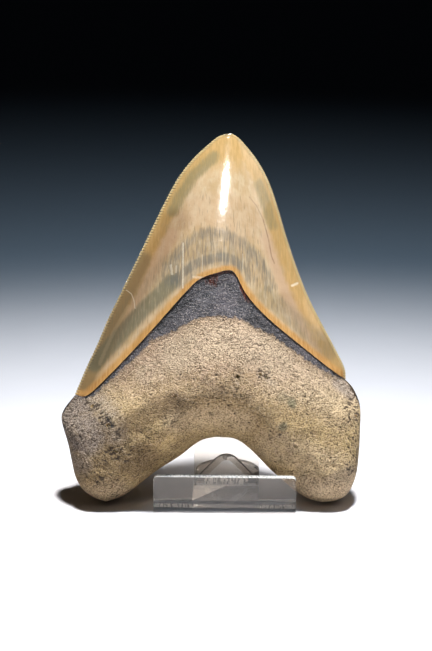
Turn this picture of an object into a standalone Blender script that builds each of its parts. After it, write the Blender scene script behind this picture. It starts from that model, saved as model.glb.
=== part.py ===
"""A fossil megalodon tooth standing on a small clear acrylic easel.

The tooth grew as one piece: an enamel crown with serrated cutting edges, the bourlette below
the enamel, and a thick two-lobed root. It is drawn in its own plane, with across to the right,
up towards the tip and out towards the viewer, the side that faced into the mouth. It leans back
on the easel, which is one cut and folded sheet: lip, base, back rest and rear foot.

Units are metres in the scene. The named sizes below are millimetres, scaled by MM.
"""

import math

import bmesh
import bpy
import numpy as np
from mathutils import Matrix, Vector, noise
from mathutils.bvhtree import BVHTree

MM = 0.001

# ---- the tooth's outline in its own plane, (across, up) in mm, both from the lobes' floor line
TIP = (7.4, 134.2)
ENAMEL_CORNER_LEFT = (-49.6, 38.2)
ENAMEL_CORNER_RIGHT = (49.1, 43.8)
LEFT_LOBE_END = (-37.8, -0.4)
RIGHT_LOBE_END = (40.4, -0.6)
CROWN_LEFT = (
    TIP, (3.5, 133.3), (0.4, 131.1), (-6.5, 124.6), (-11.8, 117.8), (-16.6, 109.1),
    (-25.1, 91.6), (-33.5, 74.2), (-37.8, 65.3), (-41.4, 56.7), (-45.5, 48.0), ENAMEL_CORNER_LEFT,
)
CROWN_RIGHT = (
    TIP, (9.6, 132.9), (11.6, 130.9), (16.7, 124.4), (20.4, 117.8), (23.6, 109.1),
    (28.9, 91.6), (35.4, 74.2), (44.4, 56.7), (48.6, 48.2), ENAMEL_CORNER_RIGHT,
)
ROOT_LEFT = (
    ENAMEL_CORNER_LEFT, (-53.2, 33.1), (-54.0, 29.0), (-51.7, 20.7), (-50.5, 15.3),
    (-49.0, 8.8), (-46.2, 4.1), (-42.1, 1.1), LEFT_LOBE_END,
)
ROOT_RIGHT = (
    ENAMEL_CORNER_RIGHT, (51.8, 40.5), (54.0, 34.0), (54.0, 26.2), (53.6, 18.0),
    (52.5, 9.3), (49.7, 2.9), (45.8, 0.3), RIGHT_LOBE_END,
)
NOTCH = (
    LEFT_LOBE_END, (-31.3, 1.9), (-25.8, 6.0), (-18.5, 11.6), (-11.3, 16.1), (-4.4, 21.3),
    (0.4, 22.8), (4.0, 22.9), (9.1, 22.2), (14.2, 18.7), (21.8, 11.0), (26.9, 6.9),
    (32.4, 2.3), (36.7, 0.1), RIGHT_LOBE_END,
)
ENAMEL_EDGE = (
    ENAMEL_CORNER_LEFT, (-45.5, 37.8), (-40.4, 41.8), (-29.5, 52.7), (-19.3, 63.6),
    (-9.1, 74.9), (-4.0, 79.6), (2.5, 82.0), (6.5, 82.9), (8.9, 81.4), (13.1, 73.8),
    (20.7, 65.6), (34.2, 54.7), (43.5, 47.6), ENAMEL_CORNER_RIGHT,
)

# ---- the tooth's thickness, mm. Out is positive, and 0 is the plane of the cutting edges
CROWN_DOME = 21.0
CROWN_DOME_RISE = 45.0
CROWN_FLANK = 1.25
CROWN_BACK = 2.8
ENAMEL_STEP = 0.5
ROOT_PLANE = 6.0
ROOT_FRONT = 8.7
ROOT_BACK = -3.3
ROOT_SHOULDER_RUN = 10.0
ROOT_FRONT_RUN = 14.0
RIDGE_AT_LOBES = 3.0
RIDGE_AT_CENTRE = 8.5
RIDGE_HALF_WIDTH = 26.0
RIDGE_CENTRE = 3.0
RIDGE_CREST = 0.60
RIDGE_SPREAD = 0.28
LOBE_ROUNDING = 9.0
NOTCH_ROUNDING = 15.0
NOTCH_HALF_WIDTH = 18.0
ENAMEL_STEP_FADE = 8
THINNEST_HALF_WIDTH = 0.5
LUMP_HEIGHT = 0.9
LUMP_LENGTH = 13.0
GRAIN_HEIGHT = 0.45
GRAIN_LENGTH = 5.0
ROUGH_FROM_ROW = 1.05
ROUGH_FULL_ROW = 1.3
BACK_PROUD = 0.3

# ---- serrations and the mesh's rows and columns
SERRATIONS = 108
SERRATIONS_PER_ROW = 3
SERRATION_HEIGHT = 0.25
SERRATION_REACH = 0.002
CROWN_ROWS = SERRATIONS // SERRATIONS_PER_ROW
ROOT_ROWS = 23
COLUMNS = 30
FIRST_ROOT_ROW = 0.008
RISE_DELAY = 0.15
ROOT_ROW_EASE = 1.5
COLUMN_EASE = 0.7

# ---- nutrient holes and pits in the root's front: (across, up, width, depth) in mm
PITS = (
    (9.5, 44.7, 1.5, 1.6), (17.5, 45.4, 1.3, 0.9), (19.6, 44.5, 1.2, 0.9),
    (-42.9, 34.2, 1.6, 0.8), (-36.5, 27.5, 1.7, 1.0), (-33.4, 18.3, 1.3, 0.8),
    (52.0, 30.5, 1.4, 0.7), (-12.5, 38.0, 1.2, 0.7), (30.0, 20.0, 1.2, 0.7),
)

# ---- how the tooth stands
LEAN = math.radians(18.0)

# ---- the easel, mm: one sheet, folded at the lip and at the back rest
SHEET = 2.8
LIP_WIDTH = 50.6
LIP_HEIGHT = 13.6
LIP_FRONT = -15.3
WIDE_BASE_DEPTH = 8.4
REST_WIDTH = 23.8
REST_LENGTH = 64.0
REST_FOOT = 5.1
REST_START = 1.3
REST_CORNER = 5.0
FOOT_END = 34.0
WINDOW_SILL = 0.6
WINDOW_APEX = 9.0
WINDOW_HALF_WIDTH = 8.0
WINDOW_ROUNDING = 3.2
RIM_WIDTH = 2.6
RIM_HEIGHT = 0.8
RIM_INSET = 0.3
RIM_SUNK = 1.0
FOOT_OVERLAP = 1.0
WINDOW_CUT = 3 * SHEET
APEX_STEPS = 8
FOOT_STEPS = 16
CORNER_STEPS = 6
STAND_ACROSS = 5.4
STAND_TURN = math.radians(-2.0)

# ---- finishes
BONE_COLOUR = (0.62, 0.50, 0.35)
BONE_ROUGHNESS = 0.45
ACRYLIC_COLOUR = (0.9, 0.93, 0.94)
ACRYLIC_ROUGHNESS = 0.05
SHARP_ANGLE = math.radians(35)


# ---- curves -------------------------------------------------------------------------------

def smooth_path(points, per_span=10):
    """A smooth curve through the points (Catmull-Rom), as an array of (across, up)."""
    known = [np.array(p, float) for p in points]
    known = [2 * known[0] - known[1]] + known + [2 * known[-1] - known[-2]]
    curve = []
    for before, start, end, after in zip(known, known[1:], known[2:], known[3:]):
        for t in np.arange(per_span) / per_span:
            curve.append(0.5 * (
                2 * start + (end - before) * t
                + (2 * before - 5 * start + 4 * end - after) * t ** 2
                + (3 * start - before - 3 * end + after) * t ** 3
            ))
    curve.append(known[-2])
    return np.array(curve)


class Path:
    """A smooth curve that is read by the fraction of its length."""

    def __init__(self, points):
        self.points = smooth_path(points)
        steps = np.linalg.norm(np.diff(self.points, axis=0), axis=1)
        self.lengths = np.concatenate([[0.0], np.cumsum(steps)])

    def at(self, fraction):
        """The points at these fractions of the curve's length."""
        want = np.asarray(fraction, float) * self.lengths[-1]
        sides = [np.interp(want, self.lengths, self.points[:, axis]) for axis in (0, 1)]
        return np.stack(sides, axis=-1)

    def rise(self, fraction):
        """How far the curve stands off the straight line between its ends."""
        part = np.asarray(fraction, float)[..., None]
        return self.at(fraction) - (self.points[0] * (1 - part) + self.points[-1] * part)


def distance_to(path_points, places):
    """Distance in mm from each place to a run of points joined by straight lines."""
    starts = path_points[:-1]
    spans = path_points[1:] - starts
    offsets = places[:, None, :] - starts[None, :, :]
    along = (offsets * spans).sum(axis=2) / np.maximum((spans ** 2).sum(axis=1), 1e-12)
    nearest = starts + np.clip(along, 0, 1)[..., None] * spans
    return np.linalg.norm(places[:, None, :] - nearest, axis=2).min(axis=1)


def smooth_step(low, high, value):
    """0 below low, 1 above high, and a smooth rise between them."""
    t = np.clip((value - low) / (high - low), 0, 1)
    return t * t * (3 - 2 * t)


CROWN_LEFT_PATH = Path(CROWN_LEFT)
CROWN_RIGHT_PATH = Path(CROWN_RIGHT)
ROOT_LEFT_PATH = Path(ROOT_LEFT)
ROOT_RIGHT_PATH = Path(ROOT_RIGHT)
NOTCH_PATH = Path(NOTCH)
ENAMEL_PATH = Path(ENAMEL_EDGE)
LEFT_SIDE = np.concatenate([CROWN_LEFT_PATH.points, ROOT_LEFT_PATH.points[1:]])
RIGHT_SIDE = np.concatenate([CROWN_RIGHT_PATH.points, ROOT_RIGHT_PATH.points[1:]])
ROOT_OUTLINE = np.concatenate([
    ROOT_LEFT_PATH.points, NOTCH_PATH.points[1:], ROOT_RIGHT_PATH.points[::-1][1:]
])


# ---- the tooth ----------------------------------------------------------------------------

def plan_place(row, column):
    """(across, up) of a grid point. Rows run from the tip, 0, to the enamel's edge, 1, and on
    to the notch, 2, and columns from the left side, 0, to the right side, 1."""
    crown = np.clip(row, 0, 1)
    root = np.clip(row - 1, 0, 1)
    in_root = (row > 1)[..., None]
    left = np.where(in_root, ROOT_LEFT_PATH.at(root), CROWN_LEFT_PATH.at(crown))
    right = np.where(in_root, ROOT_RIGHT_PATH.at(root), CROWN_RIGHT_PATH.at(crown))
    growth = crown ** 2 * (1 + RISE_DELAY) / (crown + RISE_DELAY)
    weight = (growth - root)[..., None]
    rise = weight * ENAMEL_PATH.rise(column) + root[..., None] * NOTCH_PATH.rise(column)
    across = column[..., None]
    return left * (1 - across) + right * across + rise


def across_share(place):
    """0 on the tooth's middle line and 1 at its sides, level by level."""
    left = np.interp(place[:, 1], LEFT_SIDE[::-1, 1], LEFT_SIDE[::-1, 0])
    right = np.interp(place[:, 1], RIGHT_SIDE[::-1, 1], RIGHT_SIDE[::-1, 0])
    half = np.maximum((right - left) / 2, THINNEST_HALF_WIDTH)
    return np.clip(np.abs(place[:, 0] - (left + right) / 2) / half, 0, 1)


def depths(row, place):
    """How far the front, the back and the rim stand out from the cutting edges' plane, mm."""
    share = across_share(place)
    below_tip = TIP[1] - place[:, 1]
    dome = CROWN_DOME * (1 - np.exp(-below_tip / CROWN_DOME_RISE))
    crown_front = dome * (1 - share ** 2) ** CROWN_FLANK
    crown_back = -CROWN_BACK * (1 - share ** 2)

    below_enamel = np.where(row > 1, distance_to(ENAMEL_PATH.points, place), 0.0)
    root = np.clip(row - 1, 0, 1)
    plane = ROOT_PLANE * smooth_step(0, ROOT_SHOULDER_RUN, below_enamel)
    middle = np.exp(-((place[:, 0] - RIDGE_CENTRE) / RIDGE_HALF_WIDTH) ** 2)
    notch = np.exp(-((place[:, 0] - RIDGE_CENTRE) / NOTCH_HALF_WIDTH) ** 2)
    crest = np.exp(-((root - RIDGE_CREST) / RIDGE_SPREAD) ** 2)
    ridge = (RIDGE_AT_LOBES + RIDGE_AT_CENTRE * middle) * crest
    rounding = LOBE_ROUNDING + (NOTCH_ROUNDING - LOBE_ROUNDING) * notch
    inside = np.clip(distance_to(ROOT_OUTLINE, place) / rounding, 0, 1)
    edge = np.sqrt(np.maximum(1 - (1 - inside) ** 2, 0))
    root_front = plane + (ROOT_FRONT + ridge) * edge
    root_back = plane + (ROOT_BACK - plane) * edge

    blend = smooth_step(0, ROOT_FRONT_RUN, below_enamel)
    front = crown_front * (1 - blend) + root_front * blend
    back = crown_back * (1 - blend) + root_back * blend
    enamel = ENAMEL_STEP * (row <= 1) * (1 - share ** ENAMEL_STEP_FADE)
    return front + enamel, back, plane


def roughness(place, depth, row):
    """Lumps and grain of the root, mm, fading in below the enamel."""
    lumps = [
        LUMP_HEIGHT * noise.noise(Vector((u, v, w)) / LUMP_LENGTH)
        + GRAIN_HEIGHT * noise.noise(Vector((u, v, w)) / GRAIN_LENGTH)
        for (u, v), w in zip(place, depth)
    ]
    return np.array(lumps) * smooth_step(ROUGH_FROM_ROW, ROUGH_FULL_ROW, row)


def grid_rows():
    """Row coordinates from the tip to the notch."""
    crown = np.arange(CROWN_ROWS + 1) / CROWN_ROWS
    steps = np.arange(1, ROOT_ROWS) / (ROOT_ROWS - 1)
    root = 1 - (1 - steps) ** ROOT_ROW_EASE
    return np.concatenate([crown, [1 + FIRST_ROOT_ROW], 1 + root])


def grid_columns():
    """Column coordinates from the left side to the right, closer together at the sides."""
    even = np.arange(COLUMNS + 1) / COLUMNS
    return even - COLUMN_EASE * np.sin(2 * np.pi * even) / (2 * np.pi)


def tooth_point(across, up, out):
    """A point of the tooth's own plane, in metres."""
    return Vector((across, -out, up)) * MM


def add_face_sheet(bm, places, levels, rim, front):
    """One side of the tooth as a grid of quads. The rim's vertices are shared by both."""
    rows, columns = levels.shape
    vertices = {}
    for i in range(rows):
        for j in range(columns):
            on_rim = j in (0, columns - 1) or i in (0, rows - 1)
            key = (0, 0) if i == 0 else (i, j)
            if on_rim and key in rim:
                vertices[i, j] = rim[key]
                continue
            vertices[i, j] = bm.verts.new(tooth_point(*places[i, j], levels[i, j]))
            if on_rim:
                rim[key] = vertices[i, j]
    for i in range(rows - 1):
        for j in range(columns - 1):
            corners = [vertices[i, j], vertices[i + 1, j]]
            corners += [vertices[i + 1, j + 1], vertices[i, j + 1]]
            corners = list(dict.fromkeys(corners))
            bm.faces.new(corners if front else corners[::-1])


def cut_serrations(bm, rim, columns):
    """Splits each crown edge of the rim into small rounded teeth."""
    cuts = 2 * SERRATIONS_PER_ROW
    for side, path, outward in ((0, CROWN_LEFT_PATH, -1), (columns - 1, CROWN_RIGHT_PATH, 1)):
        for row in range(CROWN_ROWS):
            upper = rim[(0, 0) if row == 0 else (row, side)]
            lower = rim[(row + 1, side)]
            edge = bm.edges.get((upper, lower))
            for cut in range(1, cuts):
                fraction = (row + cut / cuts) / CROWN_ROWS
                edge, vertex = bmesh.utils.edge_split(edge, upper, 1 / (cuts - cut + 1))
                upper = vertex
                edge = bm.edges.get((upper, lower))
                here = path.at(fraction)
                ahead = path.at(min(fraction + SERRATION_REACH, 1))
                run = ahead - path.at(max(fraction - SERRATION_REACH, 0))
                normal = outward * np.array((-run[1], run[0])) / np.linalg.norm(run)
                height = SERRATION_HEIGHT * (cut % 2)
                vertex.co = tooth_point(*(here + normal * height), 0.0)


def tooth_grids():
    """The grid's places in the tooth's plane, and its front and back depths there, mm."""
    row, column = np.meshgrid(grid_rows(), grid_columns(), indexing="ij")
    places = plan_place(row, column)
    flat = places.reshape(-1, 2)
    front, back, plane = depths(row.reshape(-1), flat)
    front = front + roughness(flat, front, row.reshape(-1))
    back = back + np.minimum(roughness(flat, back, row.reshape(-1)), BACK_PROUD)
    on_rim = ((column == 0) | (column == 1) | (row == 0) | (row == 2)).reshape(-1)
    front = np.where(on_rim, plane, front).reshape(row.shape)
    back = np.where(on_rim, plane, back).reshape(row.shape)
    return places, front, back


def cut_pits(tooth, surface, to_world):
    """Sinks round holes in the root's front, square to its surface."""
    bm = bmesh.new()
    for across, up, width, depth in PITS:
        viewer = tooth_point(across, up, 2 * CROWN_DOME)
        place, normal, _, _ = surface.ray_cast(viewer, Vector((0, 1, 0)))
        radius = ((width / 2) ** 2 + depth ** 2) / (2 * depth)
        centre = to_world @ (place + normal * (radius - depth) * MM)
        move = Matrix.Translation(centre)
        bmesh.ops.create_icosphere(bm, subdivisions=2, radius=radius * MM, matrix=move)
    use_boolean(tooth, bm, "pits", "DIFFERENCE")


def build_tooth():
    """The whole tooth, leaning back on the easel with its lobes on the floor."""
    places, front, back = tooth_grids()
    bm = bmesh.new()
    rim = {}
    add_face_sheet(bm, places, front, rim, True)
    add_face_sheet(bm, places, back, rim, False)
    cut_serrations(bm, rim, places.shape[1])
    bmesh.ops.triangulate(bm, faces=bm.faces, quad_method="BEAUTY", ngon_method="BEAUTY")
    surface = BVHTree.FromBMesh(bm)
    lean = Matrix.Rotation(-LEAN, 4, "X")
    lowest = min((lean @ vertex.co).z for vertex in bm.verts)
    stood = Matrix.Translation((0, 0, -lowest)) @ lean
    bmesh.ops.transform(bm, matrix=stood, verts=bm.verts)
    tooth = add_object("tooth", bm, BONE_COLOUR, BONE_ROUGHNESS)
    cut_pits(tooth, surface, stood)
    return tooth


# ---- solids and Booleans ------------------------------------------------------------------

def add_object(name, bm, colour, rough):
    """A mesh object with its own material."""
    mesh = bpy.data.meshes.new(name)
    bm.to_mesh(mesh)
    bm.free()
    material = bpy.data.materials.new(name)
    material.use_nodes = True
    shader = material.node_tree.nodes["Principled BSDF"]
    shader.inputs["Base Color"].default_value = (*colour, 1)
    shader.inputs["Roughness"].default_value = rough
    shader.inputs["Metallic"].default_value = 0.0
    mesh.materials.append(material)
    obj = bpy.data.objects.new(name, mesh)
    bpy.context.scene.collection.objects.link(obj)
    mesh.shade_smooth()
    mesh.set_sharp_from_angle(angle=SHARP_ANGLE)
    return obj


def extruded(outline, start, end, to_world):
    """A prism: the outline's (a, b) points swept from start to end, placed by to_world."""
    bm = bmesh.new()
    bottom = [bm.verts.new(to_world(a, b, start)) for a, b in outline]
    face = bm.faces.new(bottom)
    swept = bmesh.ops.extrude_face_region(bm, geom=[face])["geom"]
    shift = to_world(*outline[0], end) - to_world(*outline[0], start)
    moved = [item for item in swept if isinstance(item, bmesh.types.BMVert)]
    bmesh.ops.translate(bm, vec=shift, verts=moved)
    bmesh.ops.recalc_face_normals(bm, faces=bm.faces)
    return bm


def use_boolean(target, bm, name, operation):
    """Joins or cuts the target with another solid, at once."""
    tool = add_object(name, bm, ACRYLIC_COLOUR, ACRYLIC_ROUGHNESS)
    tool.hide_render = True
    tool.display_type = "WIRE"
    modifier = target.modifiers.new(name, "BOOLEAN")
    modifier.operation = operation
    modifier.object = tool


# ---- the easel ----------------------------------------------------------------------------

def side_on(y, z, x):
    """A point of a side outline (y, z), at x across."""
    return Vector((x, y, z)) * MM


def on_rest(x, up, out):
    """A point on the leaning back rest: across, up along it, and out of its front face."""
    y = REST_FOOT + up * math.sin(LEAN) - out * math.cos(LEAN)
    z = up * math.cos(LEAN) + out * math.sin(LEAN)
    return Vector((x, y, z)) * MM


def from_above(x, y, z):
    """A point of an outline seen from above (x, y), at height z."""
    return Vector((x, y, z)) * MM


def arc(centre_x, centre_y, radius, start, end, steps):
    """Points of an arc, angles in degrees."""
    angles = np.radians(np.linspace(start, end, steps + 1))
    return [(centre_x + radius * math.cos(a), centre_y + radius * math.sin(a)) for a in angles]


def gable(half_width, apex, rounding, foot):
    """An upright opening with 45 degree shoulders and a rounded apex, from the foot up."""
    centre = apex - rounding
    top = arc(0, centre, rounding, 45, 135, APEX_STEPS)
    drop = half_width - rounding * math.cos(math.radians(45))
    shoulder = centre + rounding * math.sin(math.radians(45)) - drop
    right = [(half_width, foot), (half_width, shoulder)]
    return right + top + [(-half_width, shoulder), (-half_width, foot)]


def build_stand():
    """Lip and base, then the rear foot, the back rest and its rimmed window."""
    half = LIP_WIDTH / 2
    rest_half = REST_WIDTH / 2
    inner = LIP_FRONT + SHEET
    lip_and_base = [
        (LIP_FRONT, 0), (LIP_FRONT + WIDE_BASE_DEPTH, 0), (LIP_FRONT + WIDE_BASE_DEPTH, SHEET),
        (inner, SHEET), (inner, LIP_HEIGHT), (LIP_FRONT, LIP_HEIGHT),
    ]
    folded = extruded(lip_and_base, -half, half, side_on)
    stand = add_object("stand", folded, ACRYLIC_COLOUR, ACRYLIC_ROUGHNESS)

    tip = FOOT_END - rest_half
    foot = [(-rest_half, inner + FOOT_OVERLAP), (rest_half, inner + FOOT_OVERLAP)]
    foot += arc(0, tip, rest_half, 0, 180, FOOT_STEPS)
    use_boolean(stand, extruded(foot, 0, SHEET, from_above), "foot", "UNION")

    top = REST_LENGTH - REST_CORNER
    side = rest_half - REST_CORNER
    rest = [(-rest_half, REST_START), (rest_half, REST_START)]
    rest += arc(side, top, REST_CORNER, 0, 90, CORNER_STEPS)
    rest += arc(-side, top, REST_CORNER, 90, 180, CORNER_STEPS)
    use_boolean(stand, extruded(rest, -SHEET, 0, on_rest), "rest", "UNION")

    apex = WINDOW_APEX + SHEET
    outer_apex = apex + RIM_WIDTH
    outer_half = min(WINDOW_HALF_WIDTH + RIM_WIDTH * math.sqrt(2), rest_half - RIM_INSET)
    rim = gable(outer_half, outer_apex, WINDOW_ROUNDING + RIM_WIDTH, SHEET + WINDOW_SILL)
    use_boolean(stand, extruded(rim, -RIM_SUNK, RIM_HEIGHT, on_rest), "rim", "UNION")
    window = gable(WINDOW_HALF_WIDTH, apex, WINDOW_ROUNDING, SHEET + WINDOW_SILL)
    cutter = extruded(window, -WINDOW_CUT, WINDOW_CUT, on_rest)
    use_boolean(stand, cutter, "window", "DIFFERENCE")
    return stand


def place_all(tooth, stand):
    """Turns the easel a little, and puts the origin at the middle of the pair's footprint."""
    turn = Matrix.Translation((STAND_ACROSS * MM, 0, 0)) @ Matrix.Rotation(STAND_TURN, 4, "Z")
    with_stand = [stand] + [modifier.object for modifier in stand.modifiers]
    with_tooth = [tooth] + [modifier.object for modifier in tooth.modifiers]
    for obj in with_stand:
        obj.matrix_world = turn @ obj.matrix_world
    bpy.context.view_layer.update()
    graph = bpy.context.evaluated_depsgraph_get()
    corners = []
    for obj in (tooth, stand):
        shown = obj.evaluated_get(graph)
        corners += [shown.matrix_world @ vertex.co for vertex in shown.data.vertices]
    low = [min(corner[axis] for corner in corners) for axis in range(3)]
    high = [max(corner[axis] for corner in corners) for axis in range(3)]
    shift = Matrix.Translation((-(low[0] + high[0]) / 2, -(low[1] + high[1]) / 2, -low[2]))
    for obj in with_tooth + with_stand:
        obj.matrix_world = shift @ obj.matrix_world


def main():
    """Clears the scene, builds both pieces and sets them on the floor."""
    for obj in list(bpy.data.objects):
        bpy.data.objects.remove(obj)
    tooth = build_tooth()
    stand = build_stand()
    place_all(tooth, stand)


main()
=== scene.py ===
"""Dresses a fossil megalodon tooth and the small clear easel that it stands on.

The tooth is drawn in its own plane: across to the right, up towards the tip and out towards
the viewer, in millimetres. It is then leant back and set on the easel, in metres.
"""

import math

import bpy
import numpy as np
from mathutils import Matrix, Vector, noise


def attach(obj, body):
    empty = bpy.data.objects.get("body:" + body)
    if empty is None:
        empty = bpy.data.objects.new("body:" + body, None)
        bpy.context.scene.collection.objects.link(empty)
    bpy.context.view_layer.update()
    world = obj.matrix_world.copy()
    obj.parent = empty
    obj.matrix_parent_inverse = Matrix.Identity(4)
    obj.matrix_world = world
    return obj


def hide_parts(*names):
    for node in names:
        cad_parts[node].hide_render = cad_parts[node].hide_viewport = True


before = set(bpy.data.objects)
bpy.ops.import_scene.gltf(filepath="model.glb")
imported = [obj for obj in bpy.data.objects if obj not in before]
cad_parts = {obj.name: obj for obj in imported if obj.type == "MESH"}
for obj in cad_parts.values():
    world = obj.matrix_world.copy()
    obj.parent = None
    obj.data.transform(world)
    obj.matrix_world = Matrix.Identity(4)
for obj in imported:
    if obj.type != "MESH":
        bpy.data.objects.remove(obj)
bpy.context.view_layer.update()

bl_info = {
    "name": "Fossil tooth on an easel",
    "version": (1, 0, 0),
    "blender": (4, 5, 0),
    "location": "3D View > Sidebar > Fossil",
    "description": "Builds a megalodon tooth with its enamel and bone, and a clear easel",
    "category": "Add Mesh",
}

MM = 0.001

# ---- the tooth's outline in its own plane, (across, up) in mm ------------------------------
TIP = (7.4, 134.2)
CORNER_LEFT = (-49.6, 38.2)
CORNER_RIGHT = (49.1, 43.8)
LOBE_LEFT = (-37.8, -0.4)
LOBE_RIGHT = (40.4, -0.6)
CROWN_LEFT = (
    TIP, (3.5, 133.3), (0.4, 131.1), (-6.5, 124.6), (-11.8, 117.8), (-16.6, 109.1), (-25.1, 91.6),
    (-33.5, 74.2), (-37.8, 65.3), (-41.4, 56.7), (-45.5, 48), CORNER_LEFT,
)
CROWN_RIGHT = (
    TIP, (9.6, 132.9), (11.6, 130.9), (16.7, 124.4), (20.4, 117.8), (23.6, 109.1), (28.9, 91.6),
    (35.4, 74.2), (44.4, 56.7), (48.6, 48.2), CORNER_RIGHT,
)
ROOT_LEFT = (
    CORNER_LEFT, (-53.2, 33.1), (-54, 29), (-51.7, 20.7), (-50.5, 15.3), (-49, 8.8), (-46.2, 4.1),
    (-42.1, 1.1), LOBE_LEFT,
)
ROOT_RIGHT = (
    CORNER_RIGHT, (51.8, 40.5), (54, 34), (54, 26.2), (53.6, 18), (52.5, 9.3), (49.7, 2.9), (45.8, 0.3),
    LOBE_RIGHT,
)
NOTCH = (
    LOBE_LEFT, (-31.3, 1.9), (-25.8, 6), (-18.5, 11.6), (-11.3, 16.1), (-4.4, 21.3), (0.4, 22.8),
    (4, 22.9), (9.1, 22.2), (14.2, 18.7), (21.8, 11), (26.9, 6.9), (32.4, 2.3), (36.7, 0.1), LOBE_RIGHT,
)
ENAMEL_FRONT = (
    CORNER_LEFT, (-45.5, 37.8), (-40.4, 41.8), (-29.5, 52.7), (-19.3, 63.6), (-9.1, 74.9), (-4, 79.6),
    (2.5, 82), (6.5, 82.9), (8.9, 81.4), (13.1, 73.8), (20.7, 65.6), (34.2, 54.7), (43.5, 47.6),
    CORNER_RIGHT,
)
ENAMEL_BACK = (
    CORNER_LEFT, (-44, 36), (-36, 39), (-26, 45.5), (-14, 53.5), (-4, 58), (5, 58.8), (14, 56), (26, 49),
    (37, 43.5), (44.5, 41.5), CORNER_RIGHT,
)
BOURLETTE_FOOT = (
    CORNER_LEFT, (-45, 37), (-40.4, 40.2), (-33.1, 46.5), (-25.8, 53), (-21.5, 57.6), (-14.9, 60.4),
    (-7.6, 64.2), (-4, 65.8), (0.7, 66.4), (8.7, 65.8), (12.4, 64.4), (16, 62.2), (21.1, 60.2),
    (26.9, 56.2), (33.5, 51.6), (41.5, 46.6), CORNER_RIGHT,
)

# ---- the tooth's thickness in mm. Out is positive, and 0 is the plane of the cutting edges --
CROWN_DOME = 21.0
CROWN_DOME_RISE = 45.0
CROWN_FLANK = 1.25
CROWN_BACK = 2.8
ENAMEL_STEP = 0.5
ENAMEL_STEP_FADE = 8
ROOT_PLANE = 6.0
ROOT_FRONT = 8.7
ROOT_BACK = -3.3
ROOT_SHOULDER_RUN = 10.0
ROOT_FRONT_RUN = 14.0
RIDGE_AT_LOBES = 3.0
RIDGE_AT_CENTRE = 8.5
RIDGE_HALF_WIDTH = 26.0
RIDGE_CENTRE = 3.0
RIDGE_CREST = 0.60
RIDGE_SPREAD = 0.28
LOBE_ROUNDING = 9.0
NOTCH_ROUNDING = 15.0
NOTCH_HALF_WIDTH = 18.0
RISE_DELAY = 0.15
THINNEST_HALF_WIDTH = 0.5

# ---- relief of the surface, mm: (height, length of the lumps, seed) of each layer of noise ---
BONE_LUMPS = ((0.9, 13, 0), (0.45, 5, 0))
BONE_GRAIN = ((0.30, 2.3, 5), (0.16, 1.1, 9))
BONE_WEAR = (0.5, 9, 21)
BOURLETTE_GRAIN = (0.22, 1.3, 3)
PORE_SPACING = (2.1, 1.5, 1.8)
PORE_DEPTH = 0.42
PORE_EDGE = 0.36
PORE_FLOOR = 0.10
RELIEF_FROM = 0.3
RELIEF_FULL = 5.0
BACK_RELIEF_LIMIT = 0.3
BACK_ZONES = 0.35
WRINKLES_FULL = 0.6
PAST_BOURLETTE = 6.0

# ---- the mesh's rows and columns ------------------------------------------------------------
SERRATIONS = 108
CROWN_ROWS = SERRATIONS
ROOT_ROWS = 104
FRONT_COLUMNS = 270
BACK_COLUMNS = 96
FIRST_ROOT_ROW = 0.006
ROOT_ROW_EASE = 1.35
COLUMN_EASE = 0.6
RIM_CUTS = 3
# A field is read from 32-bit numbers, so what equals 1 is found with a little slack.
ROW_SLACK = 0.0001
ON_RIM = 0.99
MIDDLE_LINE_POINTS = 60
# metres: vertices closer than this are one, and faces thinner than this go
WELD = 1e-6
SLIVER = 1e-7
SHARP_ANGLE = math.radians(50)

# ---- the small teeth of the cutting edges ---------------------------------------------------
SERRATION_FADE = 0.12
SERRATION_BLUNTNESS = 0.8
SERRATION_SUNK = 0.35
# share of the side's length over which the side's direction is read
DIRECTION_SPAN = 0.002

# ---- how the tooth stands, mm and radians ---------------------------------------------------
LEAN = math.radians(18.0)
TOOTH_AT = (-0.049, -13.855, -0.722)

# ---- the easel in mm: one sheet, with a lip, a base, a leaning back rest and a rear foot ------
LIP_FRONT = -15.3
BASE_BACK = -6.9
FOOT_END = 34.0
REST_FOOT = 5.1
REST_START = 1.3
REST_CORNER = 5.0
WINDOW_SILL = 3.4
WINDOW_APEX = 11.8
WINDOW_HALF_WIDTH = 8.0
WINDOW_ROUNDING = 3.2
RIM_WIDTH = 2.6
RIM_HEIGHT = 0.8
RIM_INSET = 0.3
RIM_BEAD = 0.5
RIM_BEAD_REACH = 2.0
LIP_CORNER = 1.3
FOOT_ROUNDNESS = 0.995
STAND_AT = (5.351, -13.855, 0.0)
STAND_TURN = math.radians(-2.0)
# segments of each rounding
ROUND_STEPS = {"foot": 14, "lip": 4, "rest": 6, "bead": 3, "arch": 8, "edge": 3}
EASEL_WELD = 2e-5
EASEL_FLAT = math.radians(1)
EASEL_CORNER = math.radians(30)
EASEL_SHARP = math.radians(32)
ACROSS_SHEET = Vector((0, -math.cos(LEAN), math.sin(LEAN)))

# ---- the stage, metres and degrees ------------------------------------------------------------
WHITE = (1.0, 1.0, 1.0)
COOL = (0.50, 0.75, 1.0)
SKY_BLUE = (0.55, 0.72, 1.0, 1.0)
# each soft light: name, place, what it points at, side, spread and colour
LIGHTS = (
    ("key", (0.10, -0.37, 0.70), (0, 0, 0.115), 0.17, 60, WHITE),
    ("top", (0.10, 0.03, 1.50), (0, -0.19, 0), 0.15, 37, WHITE),
    ("room", (0.06, 0, 0.60), (0, 0.02, 0), 0.12, 112, COOL),
    ("side", (0.42, 0.02, 0.42), (0, 0, 0.05), 0.25, 60, WHITE),
)
SPOT_AT = (0.005, 0.28, 0.43)
SPOT_AIM = (0.005, 0.032, 0)
SPOT_ANGLE = 6.5
SPOT_SOFTNESS = 0.9
SPOT_RADIUS = 0.02
CAMERA_TARGET = (0.0018, 0.0061, 0.0596)

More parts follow.
